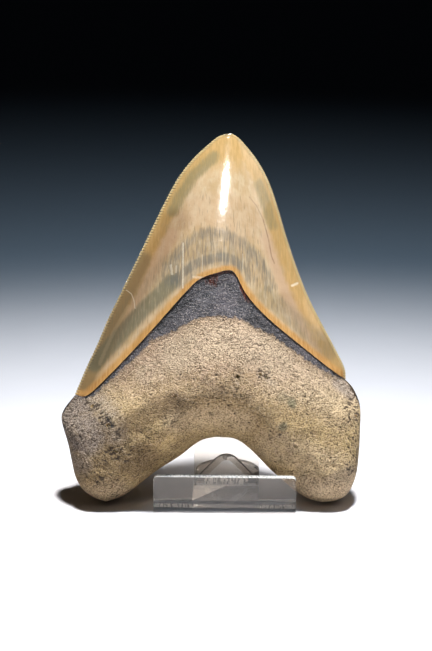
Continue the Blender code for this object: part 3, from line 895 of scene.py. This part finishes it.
class Finish:
    """One material and short ways to add nodes to it."""

    def __init__(self, name):
        self.material = bpy.data.materials.new(name)
        self.material.use_nodes = True
        self.tree = self.material.node_tree
        self.shader = self.tree.nodes["Principled BSDF"]
        self.fields = {}

    def put(self, socket, value):
        if isinstance(value, Signal):
            self.tree.links.new(value.socket, socket)
        else:
            socket.default_value = value

    def add(self, kind, output, inputs=None, **options):
        """Adds a node with these options, feeds its inputs and returns one of its outputs.
        An input of None stays as it is."""
        node = self.tree.nodes.new("ShaderNode" + kind)
        for name, value in options.items():
            setattr(node, name, value)
        for name, value in (inputs or {}).items():
            if value is not None:
                self.put(node.inputs[name], value)
        return Signal(self, node.outputs[output])

    def math(self, operation, a, b=None):
        return self.add("Math", 0, {0: a, 1: b}, operation=operation)

    def vector_math(self, operation, a, b=None, scale=None):
        output = "Value" if operation in ("DOT_PRODUCT", "LENGTH") else "Vector"
        return self.add("VectorMath", output, {0: a, 1: b, "Scale": scale}, operation=operation)

    def step(self, value, low, high, start=0.0, end=1.0):
        """A smooth rise from start at low to end at high. low may be over high."""
        if low > high:
            low, high, start, end = high, low, end, start
        inputs = {"Value": value, "From Min": low, "From Max": high, "To Min": start, "To Max": end}
        return self.add("MapRange", "Result", inputs, interpolation_type="SMOOTHSTEP")

    def field(self, name):
        """The number that the mesh stores for each vertex under this name."""
        if name not in self.fields:
            self.fields[name] = self.add("Attribute", "Fac", attribute_name=name)
        return self.fields[name]

    def mapped(self, vector, shift=(0, 0, 0), turn=(0, 0, 0), scale=(1, 1, 1)):
        inputs = {"Vector": vector, "Location": shift, "Rotation": turn, "Scale": scale}
        return self.add("Mapping", "Vector", inputs)

    def place_mm(self, shift=(0, 0, 0), turn=(0, 0, 0)):
        """Object coordinates in mm, turned and then shifted."""
        return self.mapped(self.add("TexCoord", "Object"), shift, turn, (1 / MM,) * 3)

    def noise(self, vector, scale, detail=3.0, rough=0.5):
        inputs = {"Vector": vector, "Scale": scale, "Detail": detail, "Roughness": rough}
        return self.add("TexNoise", "Fac", inputs)

    def mix(self, share, a, b, blend="MIX"):
        """Colour a, going to colour b as the share goes from 0 to 1."""
        a, b = (colour if isinstance(colour, Signal) else (*colour, 1.0) for colour in (a, b))
        inputs = {0: share, 6: a, 7: b}
        return self.add("Mix", 2, inputs, data_type="RGBA", blend_type=blend, clamp_factor=True)

    def coated(self, colour, *coats):
        """A colour with coats of (share, colour) laid over it in turn."""
        for share, coat in coats:
            colour = self.mix(share, colour, coat)
        return colour

    def line_mask(self, mm, lines, ragged):
        """Thin lines drawn on the front, from 0 to 1. ragged is a noise that breaks them up."""
        flat = self.vector_math("MULTIPLY", mm, (1, 0, 1))
        mask = None
        for points, half_width, strength in lines:
            for start, end in zip(points, points[1:]):
                start = Vector((start[0], 0, start[1]))
                span = Vector((end[0], 0, end[1])) - start
                from_start = self.vector_math("SUBTRACT", flat, start)
                along = self.vector_math("DOT_PRODUCT", from_start, span.normalized())
                along = self.math("MAXIMUM", self.math("MINIMUM", along, span.length), 0.0)
                nearest = self.vector_math("SCALE", span.normalized(), scale=along)
                gap = self.vector_math("LENGTH", self.vector_math("SUBTRACT", from_start, nearest))
                gap = ragged * half_width + gap
                line = self.step(gap, half_width * LINE_REACH, half_width * LINE_CORE) * strength
                mask = self.math("MAXIMUM", mask, line) if mask else line
        return mask * self.field("front")

    def bump(self, height, distance, strength=1.0):
        inputs = {"Strength": strength, "Distance": distance, "Height": height}
        return self.add("Bump", "Normal", inputs)

    def lets_light_through(self, share):
        """An alpha that casts only a faint shadow, as clear plastic does."""
        return 1.0 - self.add("LightPath", "Is Shadow Ray") * share

    def set(self, **values):
        for name, value in values.items():
            self.put(self.shader.inputs[name.replace("_", " ")], value)


def tooth_plane_mm(finish):
    """Object coordinates as mm in the tooth's plane: across, -out, up."""
    across, back, up = TOOTH_AT
    out = back * math.cos(LEAN) - up * math.sin(LEAN)
    along = back * math.sin(LEAN) + up * math.cos(LEAN)
    return finish.place_mm((-across, -out, -along), (LEAN, 0, 0))


def enamel_finish(settings):
    """Glossy enamel: cream middle, golden margins, smoky chevrons and an orange rim."""
    f = Finish("fossil_enamel")
    mm = tooth_plane_mm(f)
    fibre = f.noise(f.mapped(mm, scale=(1.3, 0.6, 0.09)), 1.0, 4.0, 0.62)
    thread = f.noise(f.mapped(mm, shift=(7, 3, 1), scale=(2.3, 0.8, 0.12)), 1.0, 2.0)
    cloud = f.noise(mm, 0.11, 3.0, 0.55)
    drift = f.noise(f.mapped(mm, scale=(0.55, 0.55, 0.16)), 1.0, 3.0, 0.6)
    wobble = f.noise(mm, 0.45, 2.0) * 2 - 1
    flicker = f.noise(mm, 1.4, 2.0, 0.6) * 2 - 1
    below_tip = f.field("below_tip")

    cream = f.coated(
        f.mix(f.step(cloud, 0.36, 0.64), settings.enamel_cream, settings.enamel_tan),
        (f.step(drift, 0.42, 0.62, 0.0, 0.6), settings.enamel_pale),
        (f.field("blush") * 0.75, settings.enamel_blush),
    )
    margin = f.mix(f.step(fibre, 0.38, 0.62), settings.enamel_ochre, settings.enamel_honey)
    margin = f.mix(f.field("umber") * 0.9, margin, settings.enamel_umber)
    at_sides = f.step(f.field("edge") + wobble * 0.9, 6.8, 4.0)
    at_tip = f.step(below_tip + wobble * 2, 19.0, 8.0)
    in_margin = f.math("MAXIMUM", at_sides, at_tip)

    # the coloured stripes end in long vertical threads
    comb = (fibre * 0.9 + thread * 0.9) * 1.1 - 0.99
    olive = f.step(f.field("olive") + comb * 1.1, 0.10, 1.15)
    slate = f.step(f.field("slate") + comb * 0.5, 0.05, 1.15)
    smoke = f.step(f.field("smoke") + comb * 1.3, 0.05, 1.30)
    smoke = smoke * f.step(f.field("smoke"), 0.02, 0.35)

    # thin growth lines, strongest in the middle of the face
    inner = f.step(f.field("edge"), 5.0, 12.0) * f.step(below_tip, 14.0, 30.0)
    dark_lines = f.step(thread, 0.58, 0.72) * inner * f.field("front")
    pale_lines = f.step(thread, 0.42, 0.34) * inner
    veins = f.line_mask(mm, VEINS, flicker) * f.step(flicker, -0.25, 0.15, 0.45, 1.0)

    # the orange rim along the enamel's edge, wider down the sides
    reach = f.field("enamel") + wobble * 0.45 + flicker * 0.25
    rim = f.step(reach / f.step(below_tip, 54.0, 66.0, 1.0, 1.25), 2.5, 1.0)
    orange = f.mix(f.step(fibre, 0.4, 0.6), settings.rim_orange, settings.rim_brown)
    worn = f.step(f.field("enamel") + flicker * 0.5, 0.25, 0.0, 0.0, 0.15)

    # a groove between each two serrations
    phase = f.field("row") * (SERRATIONS * 2 * math.pi)
    groove = f.step(f.math("COSINE", phase), 0.15, 1.0) * f.step(f.field("edge"), 1.5, 0.3)
    scratches = f.line_mask(mm, SCRATCHES, flicker)
    colour = f.coated(
        f.mix(in_margin * 0.9, cream, margin),
        (olive * 0.8, settings.enamel_olive),
        (slate * 0.85, settings.enamel_slate),
        (smoke * 0.85, settings.enamel_smoke),
        (dark_lines * 0.6, settings.enamel_line),
        (pale_lines * 0.18, settings.enamel_pale),
        (veins, settings.enamel_vein),
        (f.line_mask(mm, FACET_LINES, flicker), settings.enamel_pale),
        (rim, orange),
        (worn, settings.rim_dark),
        (f.step(f.field("edge"), 0.9, 0.2) * 0.7, settings.enamel_edge),
        (groove * 0.65, settings.enamel_line),
        (scratches, settings.enamel_scratch),
    )
    # painted shade darkens the enamel's left side and a strip on its right
    f.set(Base_Color=f.mix(f.field("dusk"), colour, settings.enamel_painted_shade, "MULTIPLY"))

    height = thread * 0.03 + f.noise(mm, 0.35) * 0.14 - groove * 0.35 - scratches * 0.08
    f.set(Normal=f.bump(height, MM))
    rough = f.step(cloud, 0.3, 0.7, 0.12, 0.20) + scratches * 0.4
    f.set(Roughness=rough, IOR=1.55, Coat_Weight=1.0, Coat_Roughness=0.06)
    return f.material


def bone_finish(settings):
    """The root: sandy porous bone, with the dark leathery bourlette below the enamel."""
    f = Finish("fossil_root")
    mm = tooth_plane_mm(f)
    patch = f.noise(mm, 0.07, 3.0, 0.55)
    mottle = f.noise(f.mapped(mm, shift=(4, 9, 2)), 0.35, 4.0, 0.6)
    grit = f.noise(f.mapped(mm, scale=(0.95, 1.0, 1.1)), 1.75, 2.0, 0.75)
    density = f.step(f.noise(f.mapped(mm, shift=(6, 1, 3)), 0.16, 3.0, 0.6), 0.36, 0.62, 0.6, 1.0)
    crumbs = f.noise(f.mapped(mm, (2, 7, 5), (0, 0.6, 0), (0.7, 1.0, 1.3)), 0.75, 3.0, 0.6)
    spots = f.mapped(mm, shift=(3, 5, 8), scale=(0.8, 1.0, 1.4))
    to_spot = f.add("TexVoronoi", "Distance", {"Vector": spots, "Scale": 1.5})
    pin = f.step(to_spot, 0.38, 0.18) * f.step(crumbs, 0.40, 0.52)
    worn = f.step(crumbs - f.field("pitted") * 0.16, 0.36, 0.30)
    shoulder = f.field("mauve")
    bone = f.coated(
        f.mix(f.step(patch, 0.38, 0.62), settings.bone_sand, settings.bone_pink),
        (f.step(f.field("below_tip") + mottle * 16, 92.0, 116.0), settings.bone_gold),
        (f.step(mottle, 0.40, 0.66, 0.0, 0.45), settings.bone_tan),
        # pale patches, partly painted light on the lobes and the root's top
        (f.field("chalk") * 0.75, settings.bone_pale_and_light),
        # the brown band and the left lobe: partly real colour, partly painted shade
        (f.field("brown") * 0.8, settings.bone_brown_and_shade),
        (shoulder * f.step(mottle, 0.25, 0.55, 0.6, 1.0) * 0.9, settings.bone_mauve),
        (f.field("moss") * 0.8, settings.bone_moss),
        (shoulder * f.step(grit, 0.50, 0.60, 0.0, 0.7), settings.bone_frost),
        # grains: pale crumbs between dark pores, and bigger black pits where the bone is worn
        (f.step(grit, 0.52, 0.64, 0.0, 0.5), settings.bone_pale_and_light),
        (f.step(grit, 0.51, 0.39) * density * 0.8, settings.bone_shade),
        (f.step(crumbs, 0.43, 0.33, 0.0, 0.6) * density, settings.bone_shade),
        (pin * 0.9, settings.bone_pit),
        (worn * 0.8, settings.bone_pit),
    )
    # painted shade darkens the root's left side and a lit strip across its lower right
    bone = f.mix(f.field("dusk"), bone, settings.bone_painted_shade, "MULTIPLY")

    # the bourlette, its foot broken up by noise and its grain along both arms
    above_foot = f.field("bourlette")
    solid = f.step(above_foot + (f.noise(mm, 0.6, 4.0, 0.7) * 5 - 2.5), -0.3, 0.4)
    speckled = f.step(above_foot + grit * 5, 1.6, 2.6)
    covered = f.math("MAXIMUM", solid, speckled * 0.3)
    arms = f.vector_math("ABSOLUTE", f.vector_math("ADD", mm, (-5.0, 0, 0)))
    leather = f.noise(f.mapped(arms, turn=(0, -0.72, 0), scale=(0.35, 0.8, 1.5)), 1.0, 5.0, 0.75)
    dark = f.coated(
        f.mix(f.step(leather, 0.42, 0.60), settings.bourlette_dark, settings.bourlette_grey),
        (f.step(patch, 0.45, 0.65, 0.0, 0.5), settings.bourlette_plum),
        (f.step(grit, 0.55, 0.66, 0.0, 0.65), settings.bourlette_fleck),
        (f.step(grit, 0.46, 0.34, 0.0, 0.8), settings.bourlette_dark),
        (f.field("soot") * f.step(leather, 0.66, 0.46) * 0.9, settings.crack_black),
    )

    ribs = f.noise(f.mapped(mm, scale=(4.0, 1.0, 0.3)), 1.0, 2.0)
    liver = f.mix(f.step(ribs, 0.42, 0.58), settings.liver_dark, settings.liver_red)
    cracks = f.line_mask(mm, CRACKS, grit * 4 - 2)
    f.set(Base_Color=f.coated(
        bone, (covered, dark), (f.field("liver"), liver), (cracks, settings.crack_black)
    ))

    height = grit * density + crumbs - pin * 0.4 - worn * 0.8 - cracks * 0.7
    height = height - f.field("liver") * 0.5 + leather * covered * 0.6
    f.set(Normal=f.bump(height, MM))
    f.set(Roughness=0.85 - covered * 0.35, Specular_IOR_Level=0.35)
    return f.material


def acrylic_finish(settings):
    """Clear cast acrylic with faint haze and dust."""
    f = Finish("clear_acrylic")
    haze = f.noise(f.place_mm(), 0.25, 4.0, 0.6)
    # the warm tint is partly painted light: it stands in for the brown light that the root throws into the
    # lip
    f.set(Base_Color=(*settings.acrylic_tint_and_painted_bounce, 1.0), IOR=ACRYLIC_IOR, Transmission_Weight=1.0)
    f.set(Specular_IOR_Level=0.2)
    f.set(Roughness=f.step(haze, 0.4, 0.8, 0.01, 0.06), Alpha=f.lets_light_through(0.93))
    return f.material


def cut_edge_finish(settings):
    """The easel's sawn and flame-polished edges: satin, with fine saw marks."""
    f = Finish("satin_acrylic_edge")
    marks = f.noise(f.mapped(f.place_mm(), scale=(1.0, 1.0, 0.25)), 1.6, 3.0, 0.6)
    f.set(Base_Color=f.mix(marks, settings.acrylic_edge, settings.acrylic_tint_and_painted_bounce), IOR=ACRYLIC_IOR)
    f.set(Transmission_Weight=0.55, Alpha=f.lets_light_through(0.75))
    f.set(Roughness=f.step(marks, 0.35, 0.7, 0.22, 0.42), Normal=f.bump(marks, 0.3 * MM, 0.5))
    return f.material


def arch_line_finish(settings):
    """The rounded borders of the window's rim, painted dark as shade for the light that they turn aside.
    """
    f = Finish("shaded_acrylic_border")
    marks = f.noise(f.place_mm(), 0.5, 3.0, 0.6)
    f.set(Base_Color=f.mix(marks, settings.acrylic_border_painted_shade, settings.acrylic_shade), IOR=ACRYLIC_IOR)
    f.set(Transmission_Weight=0.35, Roughness=0.3, Alpha=f.lets_light_through(0.75))
    return f.material


def floor_finish(settings):
    """A plain pale matt surface with a faint mottle."""
    f = Finish("pale_floor")
    mottle = f.noise(f.add("TexCoord", "Object"), 60.0)
    paper = tuple(0.96 * channel for channel in settings.floor_colour)
    f.set(Base_Color=f.mix(mottle, settings.floor_colour, paper), Roughness=0.6)
    return f.material


# ---- what a user would change ----------------------------------------------------------------

def colour_setting(name, description, colour):
    return bpy.props.FloatVectorProperty(
        name=name, description=description, subtype="COLOR", size=3, min=0, max=1, default=colour
    )


def number_setting(name, description, value, unit="NONE", **limits):
    return bpy.props.FloatProperty(
        name=name, description=description, default=value, unit=unit, **limits
    )


class ToothSettings(bpy.types.PropertyGroup):
    """Sizes and colours of the tooth."""

    serration_height: number_setting("Serration height", "Of each small tooth", 0.00038, "LENGTH", min=0)
    bone_relief: number_setting("Bone relief", "Share of the full grain and pores", 0.8, min=0, max=2)
    enamel_cream: colour_setting("Cream", "Middle of the enamel", (0.576, 0.395, 0.222))
    enamel_tan: colour_setting("Tan", "Darker clouds in the enamel", (0.495, 0.33, 0.165))
    enamel_pale: colour_setting("Pale", "Palest streaks of the enamel", (0.609, 0.459, 0.288))
    enamel_blush: colour_setting("Blush", "Pinkish sides of the enamel", (0.533, 0.34, 0.206))
    enamel_ochre: colour_setting("Ochre", "Margins of the enamel", (0.445, 0.264, 0.088))
    enamel_honey: colour_setting("Honey", "Paler growth lines of the margins", (0.54, 0.322, 0.118))
    enamel_umber: colour_setting("Umber", "Darker foot of the margins", (0.248, 0.165, 0.074))
    enamel_olive: colour_setting("Olive", "Green-grey stripes inside the margins", (0.258, 0.202, 0.099))
    enamel_smoke: colour_setting("Smoke", "Blue-grey chevrons", (0.153, 0.142, 0.119))
    enamel_slate: colour_setting("Slate", "Grey-green band above the rim", (0.145, 0.138, 0.088))
    enamel_line: colour_setting("Growth lines", "Fine dark lines in the enamel", (0.224, 0.162, 0.097))
    enamel_vein: colour_setting("Vein", "Reddish line at the right of the enamel", (0.179, 0.097, 0.068))
    enamel_edge: colour_setting("Cutting edge", "Thin pale edge of the enamel", (0.685, 0.532, 0.264))
    enamel_scratch: colour_setting("Scratches", "Chips and scratches in the enamel", (0.743, 0.624, 0.454))
    rim_orange: colour_setting("Rim orange", "Edge of the enamel", (0.589, 0.323, 0.115))
    rim_brown: colour_setting("Rim brown", "Darker parts of the edge", (0.482, 0.246, 0.077))
    rim_dark: colour_setting("Rim dark", "Line right at the edge", (0.21, 0.09, 0.036))
    # colours of the painted shade on the tooth's darker left side
    enamel_painted_shade: colour_setting("Dusk", "Tint of the enamel's darker left side", (0.62, 0.55, 0.50))
    bone_painted_shade: colour_setting("Root dusk", "Tint of the root's darker left side", (0.50, 0.46, 0.43))
    bone_sand: colour_setting("Sand", "Main colour of the root", (0.476, 0.326, 0.2))
    bone_pink: colour_setting("Pinkish sand", "Second colour of the root", (0.495, 0.326, 0.208))
    bone_gold: colour_setting("Gold", "Lower part of the root", (0.62, 0.435, 0.195))
    bone_tan: colour_setting("Tan", "Mottles of the root", (0.343, 0.224, 0.111))
    # colour of the brown band, also laid on the left lobe as painted shade
    bone_brown_and_shade: colour_setting("Olive brown", "Darker band across the root", (0.19, 0.122, 0.05))
    bone_mauve: colour_setting("Mauve", "Grey shoulder", (0.285, 0.225, 0.189))
    bone_frost: colour_setting("Frost", "Pale grains of the grey shoulder", (0.50, 0.43, 0.38))
    bone_moss: colour_setting("Moss", "Green spots", (0.209, 0.198, 0.112))
    # colour of the pale grains, also laid on the lobes and the root's top as painted light
    bone_pale_and_light: colour_setting("Chalk", "Pale grains", (0.654, 0.495, 0.333))
    bone_shade: colour_setting("Shade", "Dark grains", (0.11, 0.065, 0.03))
    bone_pit: colour_setting("Pit", "Inside of the pores", (0.048, 0.027, 0.015))
    bourlette_dark: colour_setting("Bourlette dark", "Darkest of the bourlette", (0.035, 0.032, 0.036))
    bourlette_grey: colour_setting("Bourlette grey", "Blue-grey of the bourlette", (0.13, 0.115, 0.12))
    bourlette_plum: colour_setting("Bourlette plum", "Purplish patches", (0.16, 0.13, 0.14))
    bourlette_fleck: colour_setting("Bourlette flecks", "Pale flecks", (0.46, 0.38, 0.33))
    liver_red: colour_setting("Chip red", "Red-brown chips below the rim", (0.16, 0.035, 0.015))
    liver_dark: colour_setting("Chip dark", "Dark lines in the chips", (0.03, 0.01, 0.007))
    crack_black: colour_setting("Crack", "Inside of cracks", (0.012, 0.01, 0.01))


class StandSettings(bpy.types.PropertyGroup):
    """Sizes and tint of the easel."""

    sheet: number_setting("Sheet", "Thickness of the acrylic sheet", 0.0028, "LENGTH")
    lip_width: number_setting("Lip width", "Width of the front lip", 0.0506, "LENGTH")
    lip_height: number_setting("Lip height", "Height of the front lip", 0.0136, "LENGTH")
    rest_width: number_setting("Rest width", "Width of the back rest", 0.0238, "LENGTH")
    rest_length: number_setting("Rest length", "Length of the back rest", 0.064, "LENGTH")
    edge_round: number_setting("Edge rounding", "Radius of the polished edges", 0.00035, "LENGTH")
    # warm tint, partly painted light bounced from the root
    acrylic_tint_and_painted_bounce: colour_setting("Tint", "Tint of the clear acrylic", (0.86, 0.81, 0.74))
    # painted shade of the window rim's rounded borders
    acrylic_border_painted_shade: colour_setting("Border", "Dark borders of the window's rim", (0.05, 0.045, 0.04))
    acrylic_shade: colour_setting("Border shade", "Paler parts of those borders", (0.16, 0.14, 0.12))
    acrylic_edge: colour_setting("Cut edge", "Satin sawn edges of the acrylic", (0.80, 0.80, 0.78))


class StageSettings(bpy.types.PropertyGroup):
    """Floor, lights and camera."""

    floor_size: number_setting("Floor size", "Side of the square floor", 8.0, "LENGTH")
    floor_colour: colour_setting("Floor", "Colour of the plain floor", (0.70, 0.665, 0.67))
    key_power: number_setting("Key light", "Watts of the softbox that makes the highlight", 0.45)
    top_power: number_setting("Top light", "Watts of the narrow light overhead", 2.5)
    room_power: number_setting("Room light", "Watts of the wide light overhead", 0.72)
    side_power: number_setting("Side light", "Watts of the softbox high at the right", 0.03)
    spot_power: number_setting("Foot light", "Watts of the spot on the easel's rear foot", 3.5)
    sky_strength: number_setting("Sky", "Strength of the dim light all round", 0.002)
    lens: number_setting("Lens", "Focal length in mm", 100.0, "CAMERA")
    camera_distance: number_setting("Camera distance", "From the camera to the tooth", 0.662, "LENGTH")
    camera_elevation: number_setting(
        "Camera elevation", "How far the camera looks down", math.radians(16.0), "ROTATION")


# ---- operators -------------------------------------------------------------------------------

class FOSSIL_OT_tooth(bpy.types.Operator):
    """Build the tooth: enamel crown with serrated edges, bourlette and porous root"""

    bl_idname = "fossil.tooth"
    bl_label = "Tooth"

    def execute(self, context):
        settings = context.scene.fossil_tooth
        rows = len(row_values()) - 1
        sheets = []
        for name, columns, front in (
            ("megalodon_tooth", FRONT_COLUMNS, True), ("tooth_back", BACK_COLUMNS, False),
        ):
            sheet, row, column = add_sheet(name, rows, columns)
            shape_sheet(sheet, row, column, columns, front, settings)
            sheets.append(sheet)
        tooth, back = sheets
        make_active(tooth)
        back.select_set(True)
        bpy.ops.object.join()
        bpy.ops.object.mode_set(mode="EDIT")
        bpy.ops.mesh.select_all(action="SELECT")
        bpy.ops.mesh.remove_doubles(threshold=WELD)
        bpy.ops.mesh.dissolve_degenerate(threshold=SLIVER)
        bpy.ops.mesh.select_all(action="SELECT")
        bpy.ops.mesh.normals_make_consistent(inside=False)
        bpy.ops.object.mode_set(mode="OBJECT")
        cut_serrations(tooth, settings)
        sink_holes(tooth)
        mesh = tooth.data
        mesh.materials.clear()
        for finish in (enamel_finish, bone_finish):
            mesh.materials.append(finish(settings))
        row = get_field(mesh, "row")
        is_root = [max(row[v] for v in face.vertices) > 1 + ROW_SLACK for face in mesh.polygons]
        mesh.polygons.foreach_set("material_index", np.array(is_root, np.int32))
        make_active(tooth)
        bpy.ops.object.shade_smooth_by_angle(angle=SHARP_ANGLE)
        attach(tooth, "root")
        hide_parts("tooth")
        return {"FINISHED"}


class FOSSIL_OT_easel(bpy.types.Operator):
    """Build the clear easel: lip, base, back rest with its window, and rear foot"""

    bl_idname = "fossil.easel"
    bl_label = "Easel"

    def execute(self, context):
        settings = context.scene.fossil_stand
        easel = model_easel(settings)
        round_edges(easel, settings)
        sheet = settings.sheet / MM
        rest_half = settings.rest_width / MM / 2
        mesh = easel.data
        finishes = [finish_index(face, LIP_FRONT + sheet, sheet, rest_half) for face in mesh.polygons]
        mesh.transform(Matrix.Translation(Vector(STAND_AT) * MM) @ Matrix.Rotation(STAND_TURN, 4, "Z"))
        mesh.materials.clear()
        for finish in (acrylic_finish, cut_edge_finish, arch_line_finish):
            mesh.materials.append(finish(settings))
        mesh.polygons.foreach_set("material_index", np.array(finishes, np.int32))
        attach(easel, "root")
        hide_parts("stand")
        return {"FINISHED"}


def add_to_scene(name, data, place, target):
    """Adds a light or camera that looks from a place to its target."""
    thing = bpy.data.objects.new(name, data)
    thing.location = place
    thing.rotation_euler = (Vector(target) - Vector(place)).to_track_quat("-Z", "Y").to_euler()
    bpy.context.scene.collection.objects.link(thing)
    return thing


class FOSSIL_OT_stage(bpy.types.Operator):
    """Add the pale floor, the soft lights and the camera"""

    bl_idname = "fossil.stage"
    bl_label = "Stage"

    def execute(self, context):
        settings = context.scene.fossil_stage
        deselect_all()
        bpy.ops.mesh.primitive_plane_add(size=settings.floor_size)
        floor = context.object
        floor.name = "floor"
        floor.data.materials.append(floor_finish(settings))
        for name, place, target, side, spread, colour in LIGHTS:
            light = bpy.data.lights.new(name + "_light", "AREA")
            light.shape = "SQUARE"
            light.size = side
            light.energy = getattr(settings, name + "_power")
            light.spread = math.radians(spread)
            light.color = colour
            lamp = add_to_scene(name + "_light", light, place, target)
            # the key light only makes the highlight
            lamp.visible_diffuse = name != "key"
        spot = bpy.data.lights.new("foot_light", "SPOT")
        spot.energy = settings.spot_power
        spot.spot_size = math.radians(SPOT_ANGLE)
        spot.spot_blend = SPOT_SOFTNESS
        spot.shadow_soft_size = SPOT_RADIUS
        add_to_scene("foot_light", spot, SPOT_AT, SPOT_AIM)

        world = bpy.data.worlds.new("studio")
        world.use_nodes = True
        sky = world.node_tree.nodes["Background"]
        sky.inputs["Color"].default_value = SKY_BLUE
        sky.inputs["Strength"].default_value = settings.sky_strength
        context.scene.world = world
        context.scene.view_settings.view_transform = "Standard"

        elevation = settings.camera_elevation
        back = Vector((0, -math.cos(elevation), math.sin(elevation)))
        lens = bpy.data.cameras.new("camera")
        lens.lens = settings.lens
        place = Vector(CAMERA_TARGET) + back * settings.camera_distance
        camera = add_to_scene("camera", lens, place, CAMERA_TARGET)
        context.scene.camera = camera
        return {"FINISHED"}


class FOSSIL_PT_panel(bpy.types.Panel):
    """Lists the pieces of the fossil and its stage"""

    bl_idname = "FOSSIL_PT_panel"
    bl_label = "Fossil tooth"
    bl_space_type = "VIEW_3D"
    bl_region_type = "UI"
    bl_category = "Fossil"

    def draw(self, context):
        for operator, settings in zip((FOSSIL_OT_tooth, FOSSIL_OT_easel, FOSSIL_OT_stage), SETTINGS):
            box = self.layout.box()
            box.operator(operator.bl_idname)
            for name in SETTINGS[settings].__annotations__:
                box.prop(getattr(context.scene, settings), name)


SETTINGS = {"fossil_tooth": ToothSettings, "fossil_stand": StandSettings, "fossil_stage": StageSettings}
CLASSES = (*SETTINGS.values(), FOSSIL_OT_tooth, FOSSIL_OT_easel, FOSSIL_OT_stage, FOSSIL_PT_panel)


def register():
    for kind in CLASSES:
        bpy.utils.register_class(kind)
    for name, group in SETTINGS.items():
        setattr(bpy.types.Scene, name, bpy.props.PointerProperty(type=group))


def unregister():
    for name in SETTINGS:
        delattr(bpy.types.Scene, name)
    for kind in reversed(CLASSES):
        bpy.utils.unregister_class(kind)


def main():
    register()
    bpy.ops.fossil.tooth()
    bpy.ops.fossil.easel()
    bpy.ops.fossil.stage()


if __name__ == "__main__":
    main()
